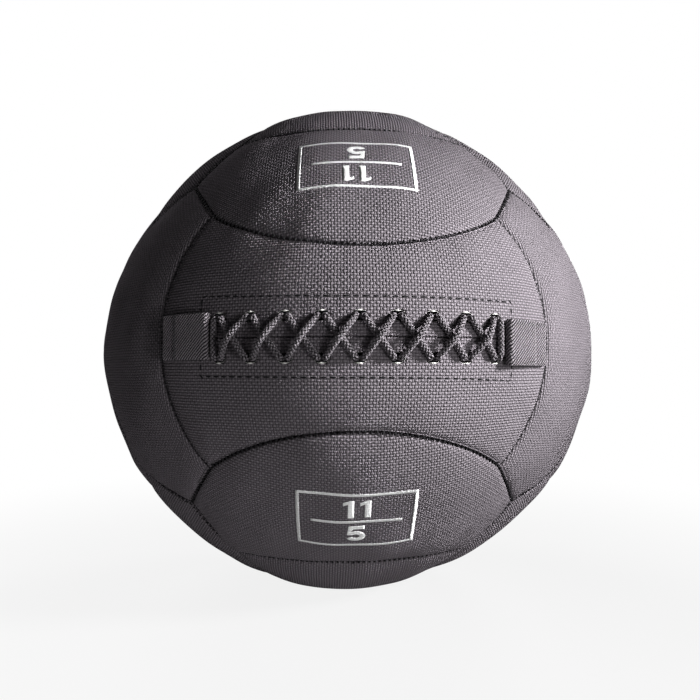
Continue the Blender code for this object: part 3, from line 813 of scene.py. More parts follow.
@dataclass(frozen=True)
class BraidPlan:
    """A braid's sizes: its outer radius, its strands, their turns and how far they weave in and out."""

    radius: float
    strand_radius: float = 0.00054
    pitch: float = 0.0090
    swing: float = 0.00028
    step: float = 0.00050
    strands: int = 8


class BraidTree(GeometryTree):
    """A round braid along a path: strands wind both ways and pass over each other in turn."""

    def __init__(self) -> None:
        """Builds the tree."""
        sizes = dict.fromkeys(("Radius", "Strand Radius", "Pitch", "Swing", "Step"), "Float")
        super().__init__("braid", {**sizes, "Strands": "Int"})
        nodes, given = self.nodes, self.given
        curve = nodes.add("GeometryNodeMeshToCurve", {"Mesh": given["Geometry"]}).outputs[0]
        even = nodes.add("GeometryNodeResampleCurve", {"Curve": curve, "Length": given["Step"]}, mode="LENGTH")
        many = {"Geometry": even.outputs[0], "Amount": given["Strands"]}
        copies = nodes.add("GeometryNodeDuplicateElements", many, domain="SPLINE")
        number = copies.outputs["Duplicate Index"]
        way = nodes.math("MULTIPLY_ADD", nodes.math("MODULO", number, 2.0), -2.0, 1.0)
        length = nodes.add("GeometryNodeSplineParameter").outputs["Length"]
        turns = nodes.math("DIVIDE", length, given["Pitch"])
        half_strands = nodes.math("DIVIDE", given["Strands"], 2.0)
        start = nodes.math("DIVIDE", nodes.math("FLOOR", nodes.math("DIVIDE", number, 2.0)), half_strands)
        angle = nodes.math("MULTIPLY", nodes.math("MULTIPLY_ADD", turns, way, start), 2 * math.pi)
        beat = nodes.math("MULTIPLY", nodes.math("MULTIPLY", turns, half_strands), 2 * math.pi)
        rise = nodes.math("MULTIPLY", nodes.math("COSINE", beat), way)
        depth = nodes.math("ADD", given["Strand Radius"], given["Swing"])
        middle = nodes.math("SUBTRACT", given["Radius"], depth)
        radius = nodes.math("ADD", middle, nodes.math("MULTIPLY", rise, given["Swing"]))
        normal = nodes.add("GeometryNodeInputNormal").outputs[0]
        tangent = nodes.add("GeometryNodeInputTangent").outputs[0]
        aside = nodes.vector("CROSS_PRODUCT", tangent, normal)
        offset = nodes.vector(
            "ADD",
            nodes.vector("SCALE", normal, nodes.math("MULTIPLY", radius, nodes.math("COSINE", angle))),
            nodes.vector("SCALE", aside, nodes.math("MULTIPLY", radius, nodes.math("SINE", angle))),
        )
        # The strand's rise, which the cord's finish turns into painted shade where the strand dives.
        mark = {"Geometry": copies.outputs[0], "Name": STRAND_RISE, "Value": rise}
        marked = nodes.add("GeometryNodeStoreNamedAttribute", mark, domain="POINT").outputs[0]
        strands = nodes.add("GeometryNodeSetPosition", {"Geometry": marked, "Offset": offset}).outputs[0]
        circle = {"Resolution": 5, "Radius": given["Strand Radius"]}
        ring = nodes.add("GeometryNodeCurvePrimitiveCircle", circle).outputs[0]
        tube = {"Curve": strands, "Profile Curve": ring, "Fill Caps": True}
        self.close(nodes.add("GeometryNodeCurveToMesh", tube).outputs[0])

    def lay(
        self, name: str, paths: Sequence[Array], plan: BraidPlan, finish: Material, closed: bool = False
    ) -> Object:
        """A braid along each path, as one piece."""
        values = {key.replace("_", " ").title(): value for key, value in asdict(plan).items()}
        return self.run(name, make_path(f"{name}_path", paths, closed), {**values, "Material": finish})


class RimTree(GeometryTree):
    """A rim round each lace hole, its thick side away from the slit."""

    def __init__(self) -> None:
        """Builds the tree."""
        super().__init__("hole_rims", {"Rim": "Object", "Centre": "Vector"})
        nodes, given = self.nodes, self.given
        template = nodes.add("GeometryNodeObjectInfo", {"Object": given["Rim"]}).outputs["Geometry"]
        out = self.outward()
        height = nodes.add("ShaderNodeSeparateXYZ", {0: out}).outputs[2]
        away = nodes.add("ShaderNodeCombineXYZ", {2: nodes.math("SIGN", height)}).outputs[0]
        self.close(self.repeated(given["Geometry"], template, self.squared(out, away, "Y")))


class GranuleTree(GeometryTree):
    """Granules lying on a heap."""

    def __init__(self) -> None:
        """Builds the tree."""
        super().__init__("granules", {"Density": "Float", "Grain Radius": "Float", "Seed": "Int"})
        nodes, given = self.nodes, self.given
        spread = {"Mesh": given["Geometry"], "Density": given["Density"], "Seed": given["Seed"]}
        spots = nodes.add("GeometryNodeDistributePointsOnFaces", spread)
        grain = {"Radius": given["Grain Radius"], "Subdivisions": 1}
        ball = nodes.add("GeometryNodeMeshIcoSphere", grain).outputs[0]
        both = nodes.add("GeometryNodeJoinGeometry")
        nodes.feed(both.inputs[0], self.repeated(spots.outputs["Points"], ball, spots.outputs["Rotation"]))
        nodes.feed(both.inputs[0], given["Geometry"])
        self.close(both.outputs[0])


@dataclass(frozen=True)
class SeamPlan:
    """Where the cover's seams run, as angles from a strip's own middle."""

    corner_longitude: float = math.radians(31.4)
    corner_latitude: float = math.radians(24.8)
    waist_latitude: float = math.radians(16.3)
    end_longitude: float = math.radians(39.3)

    @property
    def corner(self) -> tuple[float, float, float]:
        """A strip's corner.

        Returns:
            Its parts along, out and across.
        """
        level = math.cos(self.corner_latitude)
        along = math.sin(self.corner_longitude) * level
        return along, math.cos(self.corner_longitude) * level, math.sin(self.corner_latitude)

    @staticmethod
    def bowed(start: Array, middle: Array, end: Array, shares: Array) -> Array:
        """Directions along the circle on the ball that passes through three directions.

        Args:
            start: The first direction.
            middle: One between.
            end: The last.
            shares: How far along each wanted direction lies, from 0 to 1.

        Returns:
            The directions.
        """
        axis = unit(np.cross(middle - start, end - start))
        centre = axis * (axis @ start)
        arm = start - centre
        other = end - centre
        turn = math.acos(arm @ other / (np.linalg.norm(arm) * np.linalg.norm(other)))
        angles = (turn * shares)[:, None]
        return centre + arm * np.cos(angles) + np.cross(axis, arm) * np.sin(angles)

    def strip_sides(self, normal: Array, across: Array, along_shares: Array, up_shares: Array) -> list[Array]:
        """A strip's sides.

        Args:
            normal: The way the strip faces.
            across: The way its short sides run.
            along_shares: Shares along its long sides.
            up_shares: Shares along its short sides.

        Returns:
            Directions along its bottom, right, top and left sides.
        """
        along = np.cross(across, normal)
        reach, out, rise = self.corner

        def corner(end: int, side: int) -> Array:
            """The corner at one end and side."""
            return along * end * reach + normal * out + across * side * rise

        def waist(side: int) -> Array:
            """The middle of one long side."""
            return normal * math.cos(self.waist_latitude) + across * side * math.sin(self.waist_latitude)

        def tip(end: int) -> Array:
            """The middle of one end."""
            return normal * math.cos(self.end_longitude) + along * end * math.sin(self.end_longitude)

        return [
            self.bowed(corner(-1, -1), waist(-1), corner(1, -1), along_shares),
            self.bowed(corner(1, -1), tip(1), corner(1, 1), up_shares),
            self.bowed(corner(-1, 1), waist(1), corner(1, 1), along_shares),
            self.bowed(corner(-1, -1), tip(-1), corner(-1, 1), up_shares),
        ]

    def lens_sides(self, normal: Array, across: Array, along_shares: Array, up_shares: Array) -> list[Array]:
        """A lens panel's sides, of which the two short ones are notched.

        Args:
            normal: The way the strip that it borders on faces.
            across: The way from that strip to the panel.
            along_shares: Shares along its long sides.
            up_shares: Shares along its short sides.

        Returns:
            Directions along its bottom, right, top and left sides.
        """
        along = np.cross(across, normal)
        reach, out, rise = self.corner

        def notched(end: int) -> Array:
            """One end, notched where three panels meet.

            Args:
                end: 1 or -1.

            Returns:
                Its directions.
            """
            low = along * end * reach + normal * out + across * rise
            high = along * end * rise + normal * reach + across * out
            meeting = unit(along * end + normal + across)
            share = up_shares[:, None] * 2
            lower = low * (1 - share) + meeting * share
            upper = meeting * (2 - share) + high * (share - 1)
            return unit(np.where(share <= 1, lower, upper))

        left = notched(-1)
        right = notched(1)
        waist = normal * math.cos(self.waist_latitude) + across * math.sin(self.waist_latitude)
        tip = across * math.cos(self.end_longitude) + normal * math.sin(self.end_longitude)
        bottom = self.bowed(left[0], waist, right[0], along_shares)
        top = self.bowed(left[-1], tip, right[-1], along_shares)
        return [bottom, right, top, left]


PLAN = SeamPlan()


@dataclass
class CoverPanel:
    """One stuffed panel of the cover, with its crown, rolled seams, puckers and turned-in allowance."""

    node: str
    cut: PanelCut
    normal: Array
    across: Array
    columns: int = 128
    rows: int = 84
    lens_rows: int = 48
    crowding: float = 0.55
    thickness: float = 0.0012
    allowance: float = 0.008
    least_radius: float = 0.1579
    fold_inset: float = 0.0009
    pillow_depth: float = 0.0013
    pillow_reach: float = 0.025
    groove_depth: float = 0.0012
    edge_band: float = 0.005
    roll_radius: float = 0.0020
    pucker_depth: float = 0.00022
    pucker_pitch: float = 0.0042
    pucker_reach: float = 0.003
    crease_depth: float = 0.00012
    crease_reach: float = 0.008
    crease_lengths: tuple[float, float] = (0.022, 0.009)
    crease_limit: float = 1.5
    turn_shares: tuple[float, ...] = (0.25, 1.0)
    reach_block: int = 2000
    lumps: WaveField = WaveField(height=0.00035, longest=0.090, shortest=0.025, seed=11)

    def __post_init__(self) -> None:
        """Works out the panel's sides, its seam and how far along the seam each point lies."""
        if self.cut is PanelCut.LENS:
            self.rows = self.lens_rows
        self.along_shares = eased(self.columns, self.crowding)
        self.up_shares = eased(self.rows, self.crowding)
        sides_of = PLAN.strip_sides if self.cut is PanelCut.STRIP else PLAN.lens_sides
        self.sides = sides_of(self.normal, self.across, self.along_shares, self.up_shares)
        bottom, right, top, left = self.sides
        self.seam = np.concatenate((bottom[:-1], right[:-1], top[:0:-1], left[:0:-1]))
        self.along = np.cross(self.across, self.normal)

    @property
    def piece_name(self) -> str:
        """The dressed piece's name."""
        return self.node.replace("_panel", "_cloth")

    def inset_seam(self, distance: float) -> Array:
        """The seam moved inwards along the ball, with mitred corners.

        Args:
            distance: How far, in metres.

        Returns:
            The directions round it.
        """
        before = unit(np.cross(np.roll(self.seam, 1, axis=0), self.seam))
        after = unit(np.cross(self.seam, np.roll(self.seam, -1, axis=0)))
        reach = distance / FORM.radius / (1 + (before * after).sum(axis=-1, keepdims=True))
        return unit(self.seam + (before + after) * reach)

    def seam_reach(self, directions: Array) -> tuple[Array, Array]:
        """How near directions come to the seam.

        Args:
            directions: From the ball's centre.

        Returns:
            How far each lies from the seam, and how far round it its nearest point is, in metres.
        """
        starts = np.roll(self.seam, 1, axis=0)
        steps = self.seam - starts
        squares = (steps ** 2).sum(axis=-1)
        lengths = np.sqrt(squares)
        travelled = np.concatenate(([0.0], np.cumsum(lengths)[:-1]))
        flat = directions.reshape(-1, 3)
        least = np.empty(len(flat))
        place = np.empty(len(flat))
        block = self.reach_block
        for i in range(0, len(flat), block):
            from_start = flat[i:i + block, None] - starts[None]
            share = np.clip((from_start * steps).sum(axis=-1) / squares, 0, 1)
            apart = np.linalg.norm(from_start - steps * share[..., None], axis=-1)
            nearest = apart.argmin(axis=1)
            rows = np.arange(len(nearest))
            least[i:i + block] = apart[rows, nearest]
            place[i:i + block] = travelled[nearest] + share[rows, nearest] * lengths[nearest]
        shape = directions.shape[:-1]
        return least.reshape(shape) * FORM.radius, place.reshape(shape) * FORM.radius

    def calm(self, directions: Array) -> Array:
        """Where the cloth is held smooth: 0 there and 1 elsewhere."""
        return np.ones(directions.shape[:-1])

    def skin(self, directions: Array) -> Array:
        """The panel's outer radius.

        Args:
            directions: From the ball's centre.

        Returns:
            A radius for each.
        """
        distance, place = self.seam_reach(directions)
        from_roll = np.clip(1 - distance / self.roll_radius, 0, 1)
        roll = self.roll_radius * (1 - np.sqrt(1 - from_roll ** 2))
        beat = 0.5 + 0.5 * np.cos(2 * np.pi * place / self.pucker_pitch)
        pucker = self.pucker_depth * beat * np.exp(-distance / self.pucker_reach)
        crease_line = WaveField(1.0, *self.crease_lengths, seed=len(self.node)).at(place[..., None])
        crease_line = np.clip(crease_line, 0, self.crease_limit) ** 2
        crease = self.crease_depth * crease_line * np.exp(-distance / self.crease_reach)
        still = self.calm(directions)
        lump = self.lumps.at(directions * FORM.radius) * still
        return self.drawn_in(FORM.open_radius(directions), distance) - roll - (pucker + crease * still) + lump

    def drawn_in(self, radii: Array, distance: Array | float) -> Array:
        """Radii lowered towards the seam, by the panel's rounding and by the thread's pull.

        Args:
            radii: The open cover's radii.
            distance: How far each lies from the seam.

        Returns:
            The lowered radii.
        """
        pillow = self.pillow_depth * np.clip(1 - distance / self.pillow_reach, 0, 1) ** 2
        groove = self.groove_depth * np.clip(1 - distance / self.edge_band, 0, 1) ** 2
        return radii - pillow - groove

    def cloth_map(self, directions: Array) -> Array:
        """Where directions lie on the panel's flat cloth.

        Args:
            directions: From the ball's centre.

        Returns:
            Two coordinates for each, in metres from the panel's middle.
        """
        tilt = 0.0
        if self.cut is PanelCut.LENS:
            tilt = (PLAN.waist_latitude + math.pi / 2 - PLAN.end_longitude) / 2
        out = self.normal * math.cos(tilt) + self.across * math.sin(tilt)
        up = self.across * math.cos(tilt) - self.normal * math.sin(tilt)
        east = np.arctan2(directions @ self.along, directions @ out)
        north = np.arcsin(np.clip(directions @ up, -1, 1))
        return np.stack((east * np.cos(north / 2), north), axis=-1) * FORM.radius

    def directions(self) -> tuple[Array, Array]:
        """Lays out the panel.

        Returns:
            Its grid of directions, and its outline once round.
        """
        outline = self.inset_seam(self.fold_inset)
        columns, rows = self.columns, self.rows
        bottom = outline[:columns + 1]
        right = outline[columns:columns + rows + 1]
        top = outline[columns + rows:2 * columns + rows + 1][::-1]
        left = np.concatenate((outline[2 * columns + rows:], outline[:1]))[::-1]
        u = self.along_shares[None, :, None]
        v = self.up_shares[:, None, None]
        sides = bottom[None] * (1 - v) + top[None] * v + left[:, None] * (1 - u) + right[:, None] * u
        lower = bottom[0] * (1 - u) + bottom[-1] * u
        upper = top[0] * (1 - u) + top[-1] * u
        return unit(sides - lower * (1 - v) - upper * v), outline

    def build(self, material: Material) -> Object:
        """The panel as a closed piece of cloth, its seam allowance turned in at its edge.

        Args:
            material: Its finish.

        Returns:
            The piece.
        """
        directions, outline = self.directions()
        points = [FORM.place(directions, self.skin(directions)).reshape(-1, 3)]
        faces = [grid_faces(self.rows, self.columns)]
        maps = [self.cloth_map(directions).reshape(-1, 2)]
        count = len(points[0])
        numbers = np.arange(count).reshape(directions.shape[:2])
        rim = np.concatenate((numbers[0, :-1], numbers[:-1, -1], numbers[-1, :0:-1], numbers[:0:-1, 0]))
        edge_radii = self.skin(outline)
        for share in self.turn_shares:
            radii = np.maximum(edge_radii - self.allowance * share, self.least_radius)
            points.append(FORM.place(outline, radii))
            maps.append(self.cloth_map(outline))
            loop = np.arange(count, count + len(outline))
            faces.append(loop_faces(loop, rim))
            rim = loop
            count += len(outline)
        places = np.concatenate(points)
        places[:, 2] = np.maximum(places[:, 2], 0)
        solid = np.concatenate(faces).tolist()
        cloth = make_mesh_object(self.piece_name, places, solid, material, np.concatenate(maps))
        thicken(cloth, self.thickness)
        return freeze(cloth)


@dataclass(frozen=True)
class LacingPlan:
    """The lacing's sizes, and where its holes, slit and cord lie."""

    hole_count: int = 9
    hole_pitch: float = 0.0187
    row_spacing: float = 0.0212
    lace_diameter: float = 0.0033
    lace_self_gap: float = 0.0006
    lane_gap: float = 0.0002
    bend_share: float = 0.8
    hole_margin: float = 0.0005
    hole_height: float = 0.0052
    slit_height: float = 0.0001
    slit_overrun: float = 0.006
    cut_overrun: float = 0.012
    knot_diameter: float = 0.0062
    knot_offset: float = 0.008
    patch_thickness: float = 0.0010
    seam_steps: int = 8
    crossing_shares: tuple[float, ...] = (0.3, 0.5, 0.7)
    knot_shares: tuple[float, ...] = (0.8, 1.0, 1.2)
    cover_thickness: float = 0.0012

    @property
    def radius(self) -> float:
        """The cord's radius."""
        return self.lace_diameter / 2

    @property
    def bend(self) -> float:
        """How wide the cord turns over a hole's edge."""
        return self.lace_diameter * self.bend_share

    @property
    def lane(self) -> float:
        """How far the cord lies to one side of a hole's middle."""
        return self.radius + self.lane_gap / 2

    @property
    def hole_width(self) -> float:
        """A hole's width: two lanes of cord and a margin."""
        return 2 * (self.lane + self.radius + self.hole_margin)

    @property
    def low(self) -> float:
        """The height of cord that lies on the cover."""
        return self.radius + 2 * FORM.clearance

    @property
    def high(self) -> float:
        """The height of cord that passes over another."""
        return self.low + self.lace_diameter + self.lace_self_gap

    @property
    def shallow(self) -> float:
        """The height of cord just behind the backing patch."""
        sag = FORM.radius * (1 - math.cos(PLAN.end_longitude / self.seam_steps))
        return -(self.cover_thickness + FORM.clearance) - self.patch_thickness - sag - self.low

    @property
    def deep(self) -> float:
        """The height of cord behind that."""
        return self.shallow - self.lace_diameter - self.lace_self_gap

    @property
    def row_length(self) -> float:
        """How far the last hole of a row is from the first."""
        return (self.hole_count - 1) * self.hole_pitch

    @property
    def slit_length(self) -> float:
        """The slit's length."""
        return self.row_length + self.slit_overrun

    def hole_longitude(self, column: int) -> float:
        """The longitude of a column of holes."""
        return (column - (self.hole_count - 1) / 2) * self.hole_pitch / FORM.radius

    def row_latitude(self, row: int) -> float:
        """The latitude of the upper row of holes, at 1, or the lower one, at -1."""
        return row * self.row_spacing / 2 / FORM.radius

    def holes(self) -> list[tuple[float, float]]:
        """Longitude and latitude of every hole's middle."""
        columns = range(self.hole_count)
        return [(self.hole_longitude(column), self.row_latitude(row)) for column in columns for row in (1, -1)]

    def spot(self, column: int, row: int, lane: int) -> Array:
        """Longitude and latitude of a hole's left lane, at -1, or right one, at 1."""
        return np.array((self.hole_longitude(column) + lane * self.lane / FORM.radius, self.row_latitude(row)))


LACING = LacingPlan()
STEADY = CoverPanel("front_laced_panel", PanelCut.STRIP, -Y, Z)


def on_front(longitude: Array | float, latitude: Array | float, lift: Array | float) -> Array:
    """Points over the front panel, clear of its seams, at heights above its outer face."""
    return FORM.over(facing(longitude, latitude), lift)


@dataclass
class LacedPanel(CoverPanel):
    """The front panel: smooth behind the lacing, with slit, rolled slit edges and punched lace holes."""

    calm_height: float = 0.026
    calm_edge: float = 0.015
    lip_rise: float = 0.00065
    lip_reach: float = 0.0022

    def calm(self, directions: Array) -> Array:
        """The cloth is held smooth by the patch behind the lacing and under the tabs.

        Args:
            directions: From the ball's centre.

        Returns:
            How much of the seams' creases shows at each.
        """
        height = np.abs(np.arcsin(np.clip(directions[..., 2], -1, 1))) * FORM.radius
        share = np.clip((height - self.calm_height) / self.calm_edge, 0, 1)
        return share * share * (3 - 2 * share)

    def skin(self, directions: Array) -> Array:
        """The panel's outer radius, with a small roll along both edges of the slit.

        Args:
            directions: From the ball's centre.

        Returns:
            A radius for each.
        """
        height = directions[..., 2] * FORM.radius
        reach = np.abs(np.arctan2(directions[..., 0], -directions[..., 1])) * FORM.radius
        slit_end = LACING.row_length / 2 + LACING.slit_overrun
        lip = self.lip_rise * np.exp(-(height / self.lip_reach) ** 2)
        return super().skin(directions) + lip * np.clip((slit_end - reach) / self.lip_reach, 0, 1)

    def build(self, material: Material) -> Object:
        """The panel, closed, with its slit and holes cut."""
        return carve(super().build(material), LacingCutters().build())


@dataclass
class LacingCutters:
    """The slit's and the lace holes' cutters."""

    end_steps: int = 8
    side_steps: int = 8

    def slot_outline(self) -> Array:
        """One hole's outline.

        Returns:
            Its points, side to side and up and down from its middle.
        """
        half = LACING.hole_height / 2
        straight = LACING.hole_width / 2 - LACING.hole_height / 2
        points = []
        for side in (1, -1):
            for i in range(self.end_steps + 1):
                angle = math.pi * (i / self.end_steps - 1 / 2)
                points.append((side * (straight + half * math.cos(angle)), side * half * math.sin(angle)))
            for i in range(1, self.side_steps):
                points.append((side * straight * (1 - 2 * i / self.side_steps), side * half))
        return np.array(points)

    @staticmethod
    def prisms(name: str, pairs: Sequence[tuple[Array, Array]]) -> Object:
        """A cutter of closed prisms.

        Args:
            name: Its name.
            pairs: Each prism's two like outlines, anticlockwise as seen from the second.

        Returns:
            The cutter.
        """
        count = len(pairs[0][0])
        around = np.arange(count)
        one = [around[::-1].tolist(), (around + count).tolist(), *tube_faces(2, count)]
        faces = [[2 * count * i + corner for corner in face] for i in range(len(pairs)) for face in one]
        return make_mesh_object(name, np.concatenate([outline for pair in pairs for outline in pair]), faces)

    def build(self) -> list[Object]:
        """Makes the cutters.

        Returns:
            The holes' cutter and the slit's.
        """
        pairs = []
        for longitude, latitude in LACING.holes():
            out = facing(longitude, latitude)
            right = unit(np.cross(Z, out))
            rim = FORM.over(out, 0) + self.slot_outline() @ np.stack((right, np.cross(out, right)))
            pairs.append((rim - out * LACING.cut_overrun, rim + out * LACING.cut_overrun))
        return [self.prisms("hole_cutter", pairs), self.slit_block(LACING.slit_length, LACING.slit_height)]

    def slit_block(self, length: float, height: float) -> Object:
        """A cutter for a level slit in the middle of the front.

        Args:
            length: Along the ball.
            height: How far it opens.

        Returns:
            The cutter.
        """
        turn = length / 2 / FORM.radius
        half = math.sin(turn) * FORM.radius
        near = -FORM.radius - LACING.cut_overrun
        far = -math.cos(turn) * FORM.radius + 2 * LACING.cut_overrun
        outline = np.array(((-half, near, 0), (half, near, 0), (half, far, 0), (-half, far, 0))) + FORM.centre
        return self.prisms("slit_cutter", [(outline - Z * height / 2, outline + Z * height / 2)])


@dataclass
class Maker:
    """Makes one part of the ball with the shared finishes and the shared tree that sews stitches."""

    finishes: FinishSet
    stitches: StitchTree

    def sew(
        self, name: str, path: Array, pitch: float, size: Sequence[float], *nodes: str, closed: bool = False
    ) -> None:
        """Makes and dresses one row of stitches, as the tree's own sew does."""
        row = self.stitches.sew(name, [path], pitch, size, self.finishes.thread, closed)
        dress(row, "thread", *nodes)


@dataclass
class Cover(Maker):
    """The eighteen sewn panels and the threads that show in their seams."""

    stitch_pitch: float = 0.0031
    stitch_size: tuple[float, float, float] = (0.0014, 0.0024, 0.0009)
    stitch_depth: float = 0.0018
    seam_steps: int = 48

    def layout(self) -> list[tuple[str, PanelCut, Array, Array]]:
        """Every panel, strips first.

        Returns:
            Node, cut, outward direction and the direction across, for each.
        """
        strips, lenses = [], []
        for word, normal, first, second, across in (
            ("front", -Y, "upper", "lower", Z),
            ("rear", Y, "upper", "lower", Z),
            ("right", X, "front", "rear", -Y),
            ("left", -X, "front", "rear", -Y),
            ("top", Z, "right", "left", X),
            ("bottom", -Z, "right", "left", X),
        ):
            kind = "laced" if word == "front" else "strip"
            strips.append((f"{word}_{kind}_panel", PanelCut.STRIP, normal, across))
            lenses.append((f"{word}_{first}_lens_panel", PanelCut.LENS, normal, across))
            lenses.append((f"{word}_{second}_lens_panel", PanelCut.LENS, normal, -across))
        return strips + lenses

    def build(self) -> dict[str, CoverPanel]:
        """Makes and dresses every panel.

        Returns:
            The panels' descriptions, by node.
        """
        panels: dict[str, CoverPanel] = {}
        for node, cut, normal, across in self.layout():
            kind = LacedPanel if node == "front_laced_panel" else CoverPanel
            panels[node] = kind(node, cut, normal, across)
            dress(panels[node].build(self.finishes.cover), "cover_fabric", node)
        return panels

    def seam_paths(self) -> list[Array]:
        """Every seam once.

        Returns:
            A path for each, at the threads' depth.
        """
        shares = np.linspace(0, 1, self.seam_steps + 1)
        paths = []
        for _, _, normal, across in self.layout()[:6]:
            sides = PLAN.strip_sides(normal, across, shares, shares)
            for corner in (sides[0][0], sides[0][-1], sides[2][0], sides[2][-1]):
                share = shares[::2, None]
                sides.append(unit(corner * (1 - share) + unit(np.sign(corner)) * share))
            paths += [FORM.over(side, -self.stitch_depth) for side in sides]
        return paths

    def build_threads(self) -> None:
        """The ladder of threads down in the seams."""
        sizes = (self.stitch_pitch, self.stitch_size, self.finishes.thread)
        threads = self.stitches.sew("cover_seam_threads", self.seam_paths(), *sizes)
        dress(threads, "thread")


@dataclass
class Lacing(Maker):
    """The closing lace, its hole rims, the rectangle of stitches and the patch behind."""

    smoothing: int = 4
    fullness: float = 0.00020
    rim_radius: float = 0.00050
    rim_spread: float = 0.0012
    rim_least_share: float = 0.05
    rim_lift: float = 0.0001
    rim_sides: int = 8
    knot_loop_share: float = 0.8
    knot_cord_share: float = 0.45
    knot_steps: int = 24
    box_length: float = 0.174
    box_height: float = 0.0410
    box_flare: float = 0.0023
    box_pitch: float = 0.0049
    box_stitch: tuple[float, float, float] = (0.0035, 0.0010, 0.0007)
    hem_drop: float = 0.0031
    hem_pitch: float = 0.0030
    hem_stitch: tuple[float, float, float] = (0.0022, 0.0005, 0.0004)
    patch_margin: float = 0.004
    long_steps: int = 60
    short_steps: int = 16

    def quarter_turn(self) -> list[tuple[float, float]]:
        """Three stops of a quarter turn, as shares along and up."""
        return [(1 - math.cos(turn), math.sin(turn)) for turn in (0, math.pi / 4, math.pi / 2)]

    def strand(self, start: Array, end: Array, level: float, crossing: float) -> list[Array]:
        """A run of lace from hole to hole: round one's edge, over the middle and round the other's.

        Args:
            start: Longitude and latitude of its first end.
            end: The same of its last end.
            level: The cord's height over the cover, negative inside the ball.
            crossing: Its height at its middle.

        Returns:
            Its points.
        """
        inward = -1 if level < 0 else 1
        span = end - start
        bend = LACING.bend / FORM.radius / np.linalg.norm(span)
        rise = crossing - level
        turn = [(bend * along, level - inward * LACING.bend * (1 - up)) for along, up in self.quarter_turn()]
        middle = LACING.crossing_shares if rise else (1 / 2,)
        stops = turn + [(share, level + rise * math.sin(math.pi * share) ** 2) for share in middle]
        stops += [(1 - share, lift) for share, lift in turn[::-1]]
        return [on_front(*(start + span * share), lift) for share, lift in stops]

    def tail(self, hole: Array, side: int, row: int) -> tuple[list[Array], list[Array]]:
        """The cord's end inside the ball: round the hole's edge, then aside to its knot.

        Args:
            hole: Longitude and latitude of the hole's lane.
            side: The side it turns to, 1 for right.
            row: The hole's row, 1 for the upper one.

        Returns:
            Its points up to the knot, and those through the knot.
        """
        level = LACING.shallow - (LACING.knot_diameter - LACING.lace_diameter) / 2
        bend = LACING.bend / FORM.radius
        toward_slit = np.array((0.0, -row))
        to_knot = unit(np.array((float(side), float(-row)))) * LACING.knot_offset / FORM.radius
        landing = hole + toward_slit * bend
        places = []
        for along, up in self.quarter_turn():
            lift = LACING.shallow + LACING.bend * (1 - up)
            places.append(on_front(*(hole + toward_slit * bend * along), lift))
        places.append(on_front(*(landing + to_knot / 2), level))
        return places, [on_front(*(landing + to_knot * share), level) for share in LACING.knot_shares]

    def route(self) -> tuple[Array, list[Array]]:
        """The lace's whole way.

        Returns:
            Its points, and its two knots' middles.
        """
        last = LACING.hole_count - 1
        spot = LACING.spot
        low, high, shallow, deep = LACING.low, LACING.high, LACING.shallow, LACING.deep
        tail, knot = self.tail(spot(0, 1, -1), -1, 1)
        knots = [knot[1]]
        route = knot[::-1] + tail[::-1]
        route += self.strand(spot(0, 1, -1), spot(0, -1, -1), low, low)
        for column in range(last):
            route += self.strand(spot(column, -1, -1), spot(column, 1, 1), shallow, shallow)
            route += self.strand(spot(column, 1, 1), spot(column + 1, -1, -1), low, low)
        route += self.strand(spot(last, -1, -1), spot(last, 1, 1), shallow, shallow)
        route += self.strand(spot(last, 1, 1), spot(last, -1, 1), low, low)
        for column in range(last, 0, -1):
            route += self.strand(spot(column, -1, 1), spot(column, 1, -1), deep, deep)
            route += self.strand(spot(column, 1, -1), spot(column - 1, -1, 1), low, high)
        tail, knot = self.tail(spot(0, -1, 1), 1, -1)
        knots.append(knot[1])
        return np.array(route + tail + knot), knots

    def smooth(self, points: Array) -> Array:
        """A smooth path through points.

        Args:
            points: The stops, of which those that lie on the one before are left out.

        Returns:
            The path, with even turns between the stops.
        """
        keep = np.concatenate(([True], np.linalg.norm(np.diff(points, axis=0), axis=1) > FORM.clearance))
        points = points[keep]
        padded = np.concatenate((points[:1], points, points[-1:]))
        shares = np.arange(self.smoothing)[:, None] / self.smoothing
        runs = []
        for a, b, c, d in zip(padded, padded[1:], padded[2:], padded[3:]):
            runs.append(b + (c - a) * shares / 2 + (a - 2.5 * b + 2 * c - d / 2) * shares ** 2
                        + (1.5 * b - 1.5 * c + d / 2 - a / 2) * shares ** 3)
        return np.concatenate(runs + [points[-1:]])

    def build_lace(self) -> None:
        """The braided cord with a knot at each end."""
        points, knots = self.route()
        braid = BraidPlan(LACING.radius + self.fullness)
        lace = BraidTree().lay("laced_cord", [self.smooth(points)], braid, self.finishes.lace)
        dress(lace, "lace_cord", "closing_lace")
        for word, knot in zip(("upper", "lower"), knots):
            self.build_knot(f"{word}_lace_knot", knot)

    def build_knot(self, name: str, middle: Array) -> None:
        """One overhand knot, as a ball of three crossed loops of cord.

        Args:
            name: The piece's name.
            middle: The knot's middle.
        """
        radius = LACING.knot_diameter / 2 - BraidPlan.strand_radius
        turns = np.linspace(0, 2 * np.pi, self.knot_steps + 1)[:-1, None]
        loops = []
        for first, second in ((X, Y), (Y, Z), (Z, X)):
            circle = radius * (np.cos(turns) * first + np.sin(turns) * second)
            loops.append(middle + circle * self.knot_loop_share)
        plan = BraidPlan(radius * self.knot_cord_share)
        dress(BraidTree().lay(name, loops, plan, self.finishes.lace, True), "lace_cord")

    def build_rims(self) -> None:
        """The pale cut edges of the backed cloth, which the pull of the lace turns outwards; the pale crescents
        also paint the highlight on each hole's far edge.
        """
        outline = LacingCutters().slot_outline()
        tangent = unit(np.roll(outline, -1, axis=0) - np.roll(outline, 1, axis=0))
        out = np.stack((tangent[:, 1], -tangent[:, 0]), axis=1)
